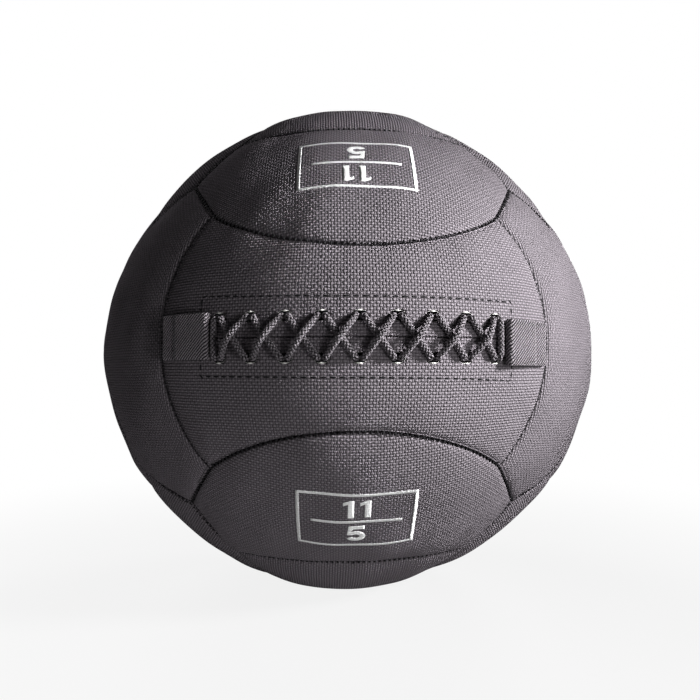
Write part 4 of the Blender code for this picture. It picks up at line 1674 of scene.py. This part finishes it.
        # The crescent, thick on the side away from the slit, carries the painted highlight.
        crescent = np.clip(out[:, 1], 0, 1) * np.exp(-((outline[:, 0] / self.rim_spread) ** 2))
        radii = self.rim_radius * (self.rim_least_share + (1 - self.rim_least_share) * crescent)
        angles = 2 * np.pi * np.arange(self.rim_sides) / self.rim_sides
        rings = []
        for point, side, radius in zip(outline, out, radii):
            across = point + side * radius * np.cos(angles)[:, None]
            rings.append(np.column_stack((across, self.rim_lift + radius * np.sin(angles))))
        faces = tube_faces(len(rings), self.rim_sides, closed=True)
        template = make_mesh_object("rim_template", np.concatenate(rings), faces)
        middles = np.array([on_front(*hole, 0) for hole in LACING.holes()])
        values = {"Rim": template, "Centre": tuple(FORM.centre), "Material": self.finishes.cut_edge}
        rims = RimTree().run("lace_hole_rims", make_mesh_object("rim_points", middles, ()), values)
        bpy.data.objects.remove(template)
        dress(rims, "backing_fabric")

    def spans(self, margin: float) -> tuple[Array, Array]:
        """Longitudes and latitudes across the rectangle of stitches, grown by a margin on each side.

        Args:
            margin: In metres.

        Returns:
            Both runs, each from its low end to its high one.
        """
        half_turn = (self.box_length / 2 + margin) / FORM.radius
        half_rise = (self.box_height / 2 + margin) / FORM.radius
        across = np.linspace(-half_turn, half_turn, self.long_steps + 1)
        return across, np.linspace(-half_rise, half_rise, self.short_steps + 1)

    def box_path(self) -> Array:
        """The rectangle of stitches.

        Returns:
            Its points, once round.
        """
        across, rise = self.spans(0)
        half_turn, half_rise = across[-1], rise[-1]
        spots = [(a, -half_rise) for a in across[:-1]] + [(half_turn, r) for r in rise[:-1]]
        spots += [(a, half_rise) for a in across[:0:-1]] + [(-half_turn, r) for r in rise[:0:-1]]
        longitudes, latitudes = np.array(spots).T
        corner = np.clip(-longitudes * latitudes / half_turn / half_rise, 0, 1)
        flare = self.box_flare / FORM.radius * corner ** 2
        return on_front(longitudes, latitudes * (1 + flare / half_rise), 0)

    def build_stitches(self) -> None:
        """The rectangle of lockstitches, and the finer row along the slit's lower edge."""
        box = (self.box_path(), self.box_pitch, self.box_stitch)
        self.sew("lacing_box_lockstitches", *box, "lacing_box_stitching", closed=True)
        slit_turn = LACING.slit_length / 2 / FORM.radius
        longitudes = np.linspace(-slit_turn, slit_turn, self.long_steps + 1)
        path = on_front(longitudes, -self.hem_drop / FORM.radius, 0)
        self.sew("slit_hem_stitches", path, self.hem_pitch, self.hem_stitch)

    def build_patch(self, panel: LacedPanel) -> None:
        """The patch behind the slit, which the rectangle of stitches holds.

        Args:
            panel: The panel that it backs.
        """
        across, rise = (np.linspace(run[0], run[-1], 2 * len(run) - 1) for run in self.spans(self.patch_margin))
        directions = facing(across[None], rise[:, None])
        points = FORM.over(directions, -(panel.thickness + FORM.clearance)).reshape(-1, 3)
        cloth = panel.cloth_map(directions).reshape(-1, 2)
        faces = grid_faces(len(rise) - 1, len(across) - 1).tolist()
        patch = make_mesh_object("lacing_patch_cloth", points, faces, self.finishes.backing, cloth)
        thicken(patch, LACING.patch_thickness)
        dress(carve(freeze(patch), LacingCutters().build()), "backing_fabric", "lacing_backing_patch")


@dataclass
class WebbingTab(Maker):
    """A short folded strip of twill webbing, sewn into a side seam and free beyond its row of stitches."""

    side: Side
    width: float = 0.0242
    ply: float = 0.00105
    bend_longitude: float = math.radians(33.3)
    seam_setback: float = 0.0025
    sewn_thickness: float = 0.0022
    flap_thickness: float = 0.0030
    fold_thickness: float = 0.0042
    fold_lift: float = 0.0012
    step: float = 0.00032
    width_steps: int = 80
    rib_pitch: float = 0.0014
    rib_depth: float = 0.00060
    rib_slope: float = math.radians(42)
    yarn_pitch: float = 0.0014
    selvedge: float = 0.0011
    stitch_setback: float = 0.0018
    stitch_pitch: float = 0.0034
    stitch_size: tuple[float, float, float] = (0.0022, 0.0006, 0.0004)
    blend_reach: float = 0.0016
    dive_reach: float = 0.0040
    dive_depth: float = 0.0045
    fold_squareness: float = 0.35
    dive_power: float = 1.3
    lift_power: float = 1.5
    crown_power: float = 0.7
    bead_depth: float = 0.12
    edge_crowding: float = 0.92

    @property
    def flap_length(self) -> float:
        """How far the flap reaches from its bend. The left one is longer."""
        return 0.0221 if self.side is Side.LEFT else 0.0208

    @property
    def rise(self) -> float:
        """How much higher than the ball's centre the tab is sewn on. The right one is lower."""
        return 0.0009 if self.side is Side.LEFT else -0.0019

    def skin(self, longitude: Array | float) -> Array:
        """The cover's radius on the level line through the tab."""
        distance = (PLAN.end_longitude - np.asarray(longitude)) * FORM.radius
        return STEADY.drawn_in(FORM.open_radius(facing(longitude, 0.0)), distance)

    def plan_points(self, longitudes: Array, lifts: Array) -> Array:
        """Points from the ball's centre on the level line through the tab, at heights over the cover."""
        directions = facing(self.side.value * longitudes, 0.0)
        return directions * (self.skin(longitudes) + lifts)[:, None] * (X + Y) + Z * self.rise

    def loop(self) -> Array:
        """The webbing's middle line.

        Returns:
            Its points, out along the upper ply, round the fold and back below.
        """
        half = self.ply / 2
        fold = self.fold_thickness / 2
        radius = float(self.skin(self.bend_longitude)) + FORM.clearance
        seam = PLAN.end_longitude - self.seam_setback / FORM.radius
        sewn_reach = (seam - self.bend_longitude) * radius
        fold_reach = self.flap_length - fold
        sewn = np.linspace(-sewn_reach, 0, 12)[:-1]
        free = np.linspace(0, fold_reach, 20)
        step = np.clip(sewn / self.stitch_setback + 1, 0, 1)
        upper_sewn = self.sewn_thickness + (self.flap_thickness - self.sewn_thickness) * step * step
        share = free / fold_reach
        under_free = (self.fold_lift - FORM.clearance) * share ** self.lift_power
        upper_free = under_free + self.flap_thickness + (self.fold_thickness - self.flap_thickness) * share
        angles = np.pi * (0.5 - np.linspace(0, 1, 41)[1:-1])
        turn_share = np.abs(np.sin(angles)) ** self.fold_squareness * np.sign(np.sin(angles))
        round_reach = fold_reach + (fold - half) * np.cos(angles) ** self.fold_squareness
        round_lift = self.fold_lift - FORM.clearance + fold + (fold - half) * turn_share
        reach = np.concatenate((sewn, free, round_reach, free[::-1], sewn[::-1]))
        lift = np.concatenate(
            (upper_sewn - half, upper_free - half, round_lift, under_free[::-1] + half, sewn * 0 + half)
        )
        dive = np.clip(1 - (reach + sewn_reach) / self.dive_reach, 0, 1) ** self.dive_power * self.dive_depth
        return self.plan_points(self.bend_longitude - reach / radius, lift + FORM.clearance - dive)

    def even(self, path: Array) -> tuple[Array, Array]:
        """A path in even steps.

        Args:
            path: Its points.

        Returns:
            The new points, and how far along the path each is.
        """
        lengths = travelled(path)
        places = np.linspace(0, lengths[-1], int(lengths[-1] / self.step) + 1)
        return np.stack([np.interp(places, lengths, path[:, k]) for k in range(3)], axis=1), places

    def ribs(self, along: Array, height: Array) -> Array:
        """The twill's relief: slanting ribs, each beaded where a yarn dips.

        Args:
            along: Places along the webbing.
            height: Places across it.

        Returns:
            The relief's height at each.
        """
        slope = self.rib_slope
        across = (height * math.cos(slope) - along * math.sin(slope)) / self.rib_pitch
        down = (height * math.sin(slope) + along * math.cos(slope)) / self.yarn_pitch
        bead = 1 - self.bead_depth - self.bead_depth * np.cos(2 * np.pi * down + np.pi * np.floor(across))
        return self.rib_depth * (np.abs(np.sin(np.pi * across)) ** self.crown_power * bead - 0.5)

    def build(self) -> None:
        """Makes the webbing, in place of the frame's sewn end and flap."""
        path, places = self.even(self.loop())
        out = np.cross(unit(np.gradient(path, axis=0)), Z) * self.side.value
        half_width = self.width / 2
        shares = np.arange(self.width_steps + 1) / self.width_steps - 0.5
        rise = half_width * np.sin(np.pi * shares * self.edge_crowding)
        rise /= math.sin(np.pi * self.edge_crowding / 2)
        edge = np.clip((half_width - np.abs(rise)) / self.selvedge, 0, 1)
        swell = self.ply / 2 * np.sqrt(np.clip(1 - (1 - edge) ** 2, 0.0, 1))
        along = places[:, None] * -self.side.value
        height = (swell + self.ribs(along, rise[None]) * edge[None])[..., None]
        line = path[:, None] + Z * rise[None, :, None]
        front = line + out[:, None] * height
        back = (line - out[:, None] * height)[:, -2:0:-1]
        rings = np.concatenate((front, back), axis=1) + FORM.centre
        steps, count = rings.shape[:2]
        caps = [list(range(count))[::-1], list(range(count * (steps - 1), count * steps))]
        faces = tube_faces(steps, count) + caps
        cloth = np.stack((np.repeat(along, count), np.tile(np.r_[rise, rise[-2:0:-1]], steps)), axis=1)
        name = f"{self.side.word}_tab_webbing"
        webbing = make_mesh_object(name, rings.reshape(-1, 3), faces, self.finishes.webbing, cloth)
        shape = bmesh.new()
        shape.from_mesh(webbing.data)
        bmesh.ops.recalc_face_normals(shape, faces=shape.faces[:])
        shape.to_mesh(webbing.data)
        shape.free()
        radius = float(self.skin(self.bend_longitude))
        reach = self.blend_reach / radius
        ends = [self.bend_longitude + reach, self.bend_longitude - reach]
        middle = self.plan_points(np.array(ends), np.full(2, self.flap_thickness / 2)) + FORM.centre
        f"{self.side.word}_tab"
        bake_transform(webbing)
        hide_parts(f"{self.side.word}_tab_sewn_end", f"{self.side.word}_tab_flap")
        report(webbing)

    def build_stitches(self) -> None:
        """The row of stitches beside the tab's bend."""
        longitude = self.bend_longitude + (self.flap_thickness / 2 + self.stitch_setback) / FORM.radius
        lift = FORM.clearance + self.sewn_thickness
        point = self.plan_points(np.array([longitude]), np.array([lift]))[0] + FORM.centre
        path = point + Z * np.linspace(-self.width / 2, self.width / 2, 20)[1:-1, None]
        word = self.side.word
        self.sew(f"{word}_tab_stitches", path, self.stitch_pitch, self.stitch_size, f"{word}_tab_stitching")


@dataclass
class WeightPrint(Maker):
    """A plain print on a lens panel: a frame, a dividing line and a plain number over another."""

    name: str
    panel: CoverPanel
    upper: int = 11
    lower: int = 5
    width: float = 0.0670
    height: float = 0.0435
    line: float = 0.0018
    divider: float = 0.0510
    latitude: float = math.radians(35.6)
    number_height: float = 0.0134
    number_gap: float = 0.0035
    stroke_share: float = 0.21
    spacing_share: float = 0.58
    breadth: float = 1.2
    cell: float = 0.0016
    lift: float = 0.00022
    ink_thickness: float = 0.00008
    merge_distance: float = 1e-6
    bowl_middle: tuple[float, float] = (0.32, 0.33)
    bowl_size: tuple[float, float] = (0.35, 0.33)
    bowl_turns: tuple[float, float] = (-152, 118)
    bowl_steps: int = 24

    def bars(self) -> list[tuple[float, float, float, float]]:
        """The frame's and the divider's bars.

        Returns:
            The low and high corner of each.
        """
        x, y, line = self.width / 2, self.height / 2, self.line
        half = self.divider / 2
        return [
            (-x, -y, x, -y + line),
            (-x, y - line, x, y),
            (-x, -y + line, -x + line, y - line),
            (x - line, -y + line, x, y - line),
            (-half, -line / 2, half, line / 2),
        ]

    def numeral(self, digit: str) -> list[tuple[float, float]]:
        """One plain numeral's outline.

        Args:
            digit: 1 or 5.

        Returns:
            Its corners in shares of its height, anticlockwise.
        """
        stroke = self.stroke_share
        if digit == "1":
            return [(stroke, 0), (stroke, 1), (0.06, 1), (-0.17, 0.88), (-0.17, 0.70), (0, 0.79), (0, 0)]
        turns = np.radians(np.linspace(*self.bowl_turns, self.bowl_steps + 1))
        x, y = self.bowl_middle
        wide, tall = self.bowl_size
        outer = [(x + wide * math.cos(a), y + tall * math.sin(a)) for a in turns]
        inner = [(x + (wide - stroke) * math.cos(a), y + (tall - stroke) * math.sin(a)) for a in turns[::-1]]
        top = [(0.23, 1 - stroke), (0.63, 1 - stroke), (0.63, 1.0), (0.07, 1.0), (0.02, 0.42), (0.20, 0.40)]
        return [*outer, *top, *inner]

    def add_number(self, mesh: bmesh.types.BMesh, number: int, middle: float) -> None:
        """Adds a plain bold number.

        Args:
            mesh: The flat print so far.
            number: The number.
            middle: The height that it is centred at.
        """
        outlines = []
        for place, digit in enumerate(str(number)):
            outlines.append(np.array(self.numeral(digit)) + (place * self.spacing_share, -1 / 2))
        reach = np.concatenate(outlines)[:, 0]
        centre = (reach.min() + reach.max()) / 2
        for outline in outlines:
            spots = (outline - (centre, 0)) * (self.breadth, 1) * self.number_height + (0, middle)
            shape = mesh.faces.new([mesh.verts.new((x, y, 0)) for x, y in spots])
            shape.normal_update()
            bmesh.ops.triangulate(mesh, faces=[shape])

    def flat_mesh(self) -> bmesh.types.BMesh:
        """The print laid flat.

        Returns:
            Its mesh, in cells small enough to follow the ball.
        """
        mesh = bmesh.new()
        for x0, y0, x1, y1 in self.bars():
            mesh.faces.new([mesh.verts.new((x, y, 0)) for x, y in ((x0, y0), (x1, y0), (x1, y1), (x0, y1))])
        offset = self.number_height / 2 + self.number_gap
        self.add_number(mesh, self.upper, offset)
        self.add_number(mesh, self.lower, -offset)
        bmesh.ops.remove_doubles(mesh, verts=mesh.verts[:], dist=self.merge_distance)
        for axis, reach in ((X, self.width), (Y, self.height)):
            for place in np.arange(-reach / 2 + self.cell, reach / 2, self.cell):
                whole = mesh.verts[:] + mesh.edges[:] + mesh.faces[:]
                cut = {"plane_co": axis * place, "plane_no": axis}
                bmesh.ops.bisect_plane(mesh, geom=whole, dist=self.merge_distance, **cut)
        return mesh

    def build(self) -> None:
        """Lays the print on its panel."""
        flat = self.flat_mesh()
        flat.verts.index_update()
        places = np.array([vertex.co for vertex in flat.verts])[:, :2]
        faces = [[vertex.index for vertex in face.verts] for face in flat.faces]
        flat.free()
        upward = float(np.sign(self.panel.across[2]))
        tilt = upward * self.latitude
        out = facing(0.0, tilt)
        right = X * -upward
        up = np.cross(out, right)
        turns = places / FORM.radius
        level = np.cos(turns[:, 1])
        directions = (
            out * (np.cos(turns[:, 0]) * level)[:, None]
            + right * (np.sin(turns[:, 0]) * level)[:, None]
            + up * np.sin(turns[:, 1])[:, None]
        )
        points = FORM.place(directions, self.panel.skin(directions) + self.lift)
        ink = make_mesh_object(self.name, points, faces, self.finishes.ink, self.panel.cloth_map(directions))
        thicken(ink, self.ink_thickness)
        freeze(ink)
        dress(ink, None)


@dataclass
class Filling(Maker):
    """What the cover holds: lining bag, foam, wadding, and a tied bag of granules in the middle."""

    segments: int = 96
    ring_step: float = math.radians(3)
    allowance: float = 0.008
    lining_thickness: float = 0.0008
    lining_slit: tuple[float, float] = (0.120, 0.003)
    nest_gap: float = 0.0004
    foam_thickness: float = 0.018
    bag_radius: float = 0.064
    bag_drop: float = 0.050
    bag_rise: float = 0.040
    bag_thickness: float = 0.0010
    neck_radius: float = 0.011
    neck_height: float = 0.010
    ruffle_radius: float = 0.020
    ruffle_height: float = 0.012
    tie_diameter: float = 0.004
    fill_share: float = 0.55
    grain_radius: float = 0.0013
    grain_density: float = 90000.0
    seam_fall: float = 0.0038
    pleats: int = 24
    pleat_depth: float = 0.0022
    pleat_start_share: float = 0.7
    tied_reach: float = 0.003
    tie_steps: int = 72

    @property
    def lining_radius(self) -> float:
        """The lining's radius, inside the seam allowances at the cube's corners."""
        corner = unit(np.ones(3))
        return float(FORM.open_radius(corner)) - self.seam_fall - self.allowance - FORM.clearance

    @property
    def top(self) -> float:
        """The height of the tied bag's ruffle over the ball's centre."""
        return self.bag_rise + self.neck_height + self.ruffle_height

    @property
    def turns(self) -> Array:
        """Even turns from the equator to a pole."""
        return np.arange(0, math.pi / 2 + self.ring_step / 2, self.ring_step)

    def lathe(self, name: str, outline: Array, material: Material, closed: bool = False) -> Object:
        """Turns an outline of radii and heights round the upright axis through the ball's centre.

        Args:
            name: The piece's name.
            outline: Radius and height of each ring, anticlockwise with the radius to the right.
            material: Its finish.
            closed: Whether the outline joins up, and otherwise it starts and ends on the axis.

        Returns:
            The turned piece.
        """
        angles = 2 * np.pi * np.arange(self.segments) / self.segments
        circle = np.stack((np.cos(angles), np.sin(angles)), axis=1)
        points, starts, cloth = [], [], []
        count = 0
        for (radius, height), place in zip(outline, travelled(outline)):
            ring = 1 if radius == 0 else self.segments
            spots = circle[:ring] * radius
            points.append(np.column_stack((spots, np.full(ring, height))) + FORM.centre)
            cloth.append(np.column_stack((angles[:ring] * self.bag_radius, np.full(ring, place))))
            starts.append((count, ring))
            count += ring
        pairs = list(zip(starts, starts[1:]))
        if closed:
            pairs.append((starts[-1], starts[0]))
        faces = []
        for (low, low_ring), (high, high_ring) in pairs:
            for k in range(self.segments):
                after = (k + 1) % self.segments
                corners = [low + k % low_ring, low + after % low_ring]
                corners += [high + after % high_ring, high + k % high_ring]
                faces.append(list(dict.fromkeys(corners)))
        return make_mesh_object(name, np.concatenate(points), faces, material, np.concatenate(cloth))

    def meridian(self, radius: float, sign: int, lift: float = 0.0) -> Array:
        """Outline points from the equator to a pole of a flattened ball.

        Args:
            radius: The ball's radius.
            sign: 1 for the upper pole and -1 for the lower one.
            lift: How much higher the outline lies.

        Returns:
            Radius and height of each point.
        """
        across = radius * np.cos(self.turns)
        across[-1] = 0
        return np.column_stack((across, sign * radius * np.sin(self.turns) * FORM.squash + lift))

    def roughen(self, piece: Object, waves: WaveField) -> None:
        """Moves a piece's vertices in, never out, by smooth lumps.

        Args:
            piece: The piece.
            waves: The lumps.
        """
        count = len(piece.data.vertices)
        places = np.empty(count * 3)
        normals = np.empty(count * 3)
        piece.data.vertices.foreach_get("co", places)
        piece.data.vertex_normals.foreach_get("vector", normals)
        places = places.reshape(-1, 3)
        depth = np.abs(waves.at(places))
        places -= normals.reshape(-1, 3) * depth[:, None]
        piece.data.vertices.foreach_set("co", places.ravel())
        piece.data.update()

    def build_lining(self) -> None:
        """The lining bag with its slit behind the lacing."""
        outer = self.lining_radius
        inner = outer - self.lining_thickness
        outside = np.concatenate((self.meridian(outer, -1)[:0:-1], self.meridian(outer, 1)))
        inside = np.concatenate((self.meridian(inner, 1)[:0:-1], self.meridian(inner, -1)))
        shell = self.lathe("lining_bag_cloth", outside, self.finishes.lining)
        pocket = self.lathe("lining_inside", inside, self.finishes.lining)
        merged = bmesh.new()
        merged.from_mesh(shell.data)
        merged.from_mesh(pocket.data)
        merged.to_mesh(shell.data)
        merged.free()
        bpy.data.objects.remove(pocket)
        carve(shell, [LacingCutters().slit_block(*self.lining_slit)])
        dress(shell, "lining_fabric", "inner_lining_bag")

    def bag_outline(self, growth: float) -> tuple[Array, Array]:
        """The weight bag's shape, grown by a distance.

        Args:
            growth: In metres, less than 0 for a smaller bag.

        Returns:
            Radius and height of the points below its widest ring, and of those above, from that ring on.
        """
        across = (self.bag_radius + growth) * np.cos(self.turns)
        belly = np.column_stack((across, -(self.bag_drop + growth) * np.sin(self.turns)))
        belly[-1, 0] = 0
        shoulder = np.column_stack((across, (self.bag_rise + growth) * np.sin(self.turns)))[:-1]
        return belly, shoulder

    def build_layers(self) -> None:
        """The two halves of the foam and of the wadding."""
        foam_outer = self.lining_radius - self.lining_thickness - self.nest_gap
        foam_inner = foam_outer - self.foam_thickness
        wadding_outer = foam_inner - self.nest_gap
        belly, shoulder = self.bag_outline(self.nest_gap)
        well = self.ruffle_radius + self.nest_gap
        top = self.top + self.nest_gap
        shoulder = shoulder[shoulder[:, 0] > well]
        pocket = np.concatenate((shoulder, ((well, self.bag_rise), (well, top), (0, top))))
        for word, sign, hollow in (("upper", 1, pocket), ("lower", -1, belly)):
            gap = sign * self.nest_gap / 2
            rough = WaveField(height=0.0003, longest=0.04, shortest=0.01, seed=30 + sign)
            for part, outer, room, slot, finish in (
                ("foam_shell", foam_outer, self.meridian(foam_inner, sign), "foam", self.finishes.foam),
                ("wadding", wadding_outer, hollow, "wadding", self.finishes.wadding),
            ):
                dome = self.meridian(outer, sign, gap)
                inside = room + np.array((0, gap))
                outline = np.concatenate((inside[::-1], dome) if sign > 0 else (dome[::-1], inside))
                half = self.lathe(f"{word}_{part}_layer", outline, finish)
                self.roughen(half, rough)
                dress(half, slot, f"{word}_{part}")

    def build_bag(self) -> None:
        """The weight bag, pleated where its neck is tied, its tie and its granules."""
        belly, shoulder = self.bag_outline(0.0)
        inner_belly, inner_shoulder = self.bag_outline(-self.bag_thickness)
        neck = self.bag_rise + self.neck_height / 2
        half_tie = self.tie_diameter / 2
        tied = (neck - half_tie, neck + half_tie)
        bore = self.neck_radius - self.bag_thickness
        outside = [*belly[::-1], *shoulder[1:], *((self.neck_radius, height) for height in tied)]
        outside.append((self.ruffle_radius, self.top))
        inside = [*inner_belly[::-1], *inner_shoulder[1:], *((bore, height) for height in tied)]
        inside.append((self.ruffle_radius - self.bag_thickness, self.top))
        bag = self.lathe("weight_bag_cloth", np.array(outside + inside[::-1]), self.finishes.calico)
        self.pleat(bag)
        dress(bag, "calico", "weight_bag")
        ring = self.neck_radius + half_tie + 2 * FORM.clearance
        turns = np.linspace(0, 2 * np.pi, self.tie_steps + 1)[:-1, None]
        circle = (np.cos(turns) * X + np.sin(turns) * Y) * ring
        braid = BraidPlan(half_tie, half_tie / 3, 0.011, half_tie / 8)
        path = circle + FORM.centre + Z * neck
        tie = BraidTree().lay("weight_bag_tie_string", [path], braid, self.finishes.tie, True)
        dress(tie, "tie_cord", "weight_bag_tie")
        inset = -self.bag_thickness - self.nest_gap - 2 * self.grain_radius
        heap_belly, heap_shoulder = self.bag_outline(inset)
        level = self.bag_rise * self.fill_share - 2 * self.grain_radius
        filled = heap_shoulder[1:][heap_shoulder[1:, 1] < level]
        outline = np.concatenate((heap_belly[::-1], filled, ((0.0, level),)))
        heap = self.lathe("granule_heap", outline, self.finishes.granules)
        values = {"Density": self.grain_density, "Grain Radius": self.grain_radius, "Seed": 7}
        fill = GranuleTree().run("weight_granules", heap, {**values, "Material": self.finishes.granules})
        dress(fill, "granules", "weight_fill")

    def pleat(self, bag: Object) -> None:
        """Draws the bag's ruffle and shoulder into pleats, inwards only.

        Args:
            bag: The bag.
        """
        depth = self.pleat_depth
        for vertex in bag.data.vertices:
            height = vertex.co.z - FORM.centre[2]
            radius = math.hypot(vertex.co.x, vertex.co.y)
            tied = abs(height - self.bag_rise - self.neck_height / 2) < self.tied_reach
            if tied or height < self.bag_rise * self.pleat_start_share or radius < 2 * depth:
                continue
            turn = math.atan2(vertex.co.y, vertex.co.x)
            scale = 1 - depth * (0.5 + 0.5 * math.cos(self.pleats * turn)) / radius
            vertex.co.x *= scale
            vertex.co.y *= scale
        bag.data.update()

    def build(self) -> None:
        """Makes and dresses everything inside the cover."""
        self.build_lining()
        self.build_layers()
        self.build_bag()


@dataclass
class Studio:
    """The plain pale studio: floor, lamps, surroundings and the photograph's camera."""

    view_longitude: float = math.radians(-1.79)
    view_latitude: float = math.radians(-2.16)
    distance_share: float = 2.782
    focal_pixels: float = 638.7
    frame_pixels: float = 700.0
    ball_pixel: tuple[float, float] = (348.5, 349.8)
    roll: float = math.radians(0.03)
    floor_size: float = 12.0
    floor_shade: float = 0.45
    surround: float = 0.004
    near_floor: float = 0.15
    far_floor: float = 0.60
    near_glow: float = 0.86
    grain_share: float = 0.985
    grain_size: float = 1 / 300
    nearest: float = 0.01

    def build_camera(self) -> None:
        """The camera, placed so that the ball lies in the frame as photographed."""
        data = bpy.data.cameras.new("camera")
        camera = link_object("camera", data)
        out = facing(self.view_longitude, self.view_latitude)
        camera.location = FORM.centre + out * self.distance_share * FORM.radius
        turn = Vector(-out).to_track_quat("-Z", "Y").to_euler()
        turn.rotate_axis("Z", self.roll)
        camera.rotation_euler = turn
        data.lens = data.sensor_width * self.focal_pixels / self.frame_pixels
        data.shift_x = (self.frame_pixels / 2 - self.ball_pixel[0]) / self.frame_pixels
        data.shift_y = (self.ball_pixel[1] - self.frame_pixels / 2) / self.frame_pixels
        data.clip_start = self.nearest
        bpy.context.scene.camera = camera

    def add_lamp(
        self, name: str, turns: tuple[float, float], distance: float, size: float, level: float,
        spread: float = 180, aim: tuple[float, float] | None = None,
    ) -> None:
        """A soft lamp aimed at the ball.

        Args:
            name: The lamp's name.
            turns: Degrees right of the front, and above level.
            distance: From the ball's centre.
            size: The lamp's width.
            level: What a white surface on the near side of the ball that faces it would render as.
            spread: The whole width of its beam, in degrees.
            aim: The spot on the ball that its beam is centred on, in the same degrees, or None for all of it.
        """
        data = bpy.data.lights.new(name, "AREA")
        data.shape = "DISK"
        data.size = size
        half = math.radians(spread) / 2
        data.spread = 2 * half
        data.energy = level * (math.pi * (distance - FORM.radius)) ** 2 * (1 - half / math.tan(half))
        lamp = link_object(name, data)
        out = facing(*(math.radians(turn) for turn in turns))
        lamp.location = FORM.centre + out * distance
        target = FORM.centre + (facing(*np.radians(aim)) * FORM.radius if aim else 0)
        lamp.rotation_euler = (Vector(target) - lamp.location).to_track_quat("-Z", "Y").to_euler()

    def build_lamps(self) -> None:
        """A strong near lamp to the right of the camera, as the photograph has, and weak ones elsewhere."""
        self.add_lamp("key_lamp", (61, 15), 0.8, 0.15, 5.7, spread=42, aim=(8, 5))
        self.add_lamp("fill_lamp", (35, 5), 1.2, 0.3, 0.16)
        self.add_lamp("low_lamp", (30, -8), 0.8, 0.05, 0.26)
        self.add_lamp("left_lamp", (-142, 40), 1.4, 0.6, 0.60)
        self.add_lamp("rear_lamp", (140, 32), 1.6, 0.5, 0.70)

    def camera_share(self, nodes: Nodes) -> NodeSocket:
        """What the camera sees, also by reflection, apart from light.

        Args:
            nodes: The material's nodes.

        Returns:
            1 for what it sees, and 0 for light.
        """
        path = nodes.add("ShaderNodeLightPath")
        seen = nodes.math("MAXIMUM", path.outputs["Is Camera Ray"], path.outputs["Is Glossy Ray"])
        return nodes.math("MAXIMUM", seen, path.outputs["Is Transmission Ray"])

    def build_surroundings(self) -> None:
        """A white backdrop that gives the ball only a little light."""
        world = bpy.data.worlds.new("studio")
        world.use_nodes = True
        bpy.context.scene.world = world
        nodes = Nodes(world.node_tree)
        background = world.node_tree.nodes["Background"]
        strength = nodes.math("MULTIPLY_ADD", self.camera_share(nodes), 1 - self.surround, self.surround)
        background.inputs["Color"].default_value = (1, 1, 1, 1)
        nodes.feed(background.inputs["Strength"], strength)

    def build_floor(self) -> None:
        """The pale floor that the ball rests on."""
        half = self.floor_size / 2
        corners = np.array(((-half, -half, 0), (half, -half, 0), (half, half, 0), (-half, half, 0)))
        material = bpy.data.materials.new("pale_floor")
        material.use_nodes = True
        nodes = Nodes(material.node_tree)
        shader = material.node_tree.nodes["Principled BSDF"]
        place = nodes.in_piece()
        shade = (self.floor_shade,) * 3
        low = tuple(part * self.grain_share for part in shade)
        grain = nodes.noise(place, self.grain_size)
        nodes.feed(shader.inputs["Base Color"], nodes.mixed(grain, low, shade))
        shader.inputs["Roughness"].default_value = 0.9
        glow = nodes.add("ShaderNodeEmission", {"Color": (1, 1, 1, 1), "Strength": 1.0})
        distance = nodes.add("ShaderNodeVectorMath", {0: place}, operation="LENGTH").outputs["Value"]
        spread = nodes.climb(distance, self.near_floor, self.far_floor, self.near_glow)
        seen = nodes.math("MULTIPLY", self.camera_share(nodes), spread)
        mixed = nodes.add("ShaderNodeMixShader", {0: seen, 1: shader.outputs[0], 2: glow.outputs[0]})
        nodes.feed(material.node_tree.nodes["Material Output"].inputs["Surface"], mixed.outputs[0])
        make_mesh_object("floor", corners, [(0, 1, 2, 3)], material)

    def build(self) -> None:
        """Sets up everything round the ball."""
        self.build_camera()
        self.build_lamps()
        self.build_surroundings()
        self.build_floor()
        bpy.context.scene.view_settings.view_transform = "Standard"


def main() -> None:
    """Builds the studio and the ball's sub-assemblies."""
    logging.basicConfig(level=logging.INFO, format="%(name)s %(message)s")
    Studio().build()
    shared = FinishSet(), StitchTree()
    cover = Cover(*shared)
    panels = cover.build()
    cover.build_threads()
    lacing = Lacing(*shared)
    lacing.build_lace()
    lacing.build_rims()
    lacing.build_stitches()
    lacing.build_patch(panels["front_laced_panel"])
    for side in Side:
        tab = WebbingTab(*shared, side)
        tab.build()
        tab.build_stitches()
    for word in ("upper", "lower"):
        WeightPrint(*shared, f"{word}_weight_print", panels[f"front_{word}_lens_panel"]).build()
    Filling(*shared).build()


if __name__ == "__main__":
    main()
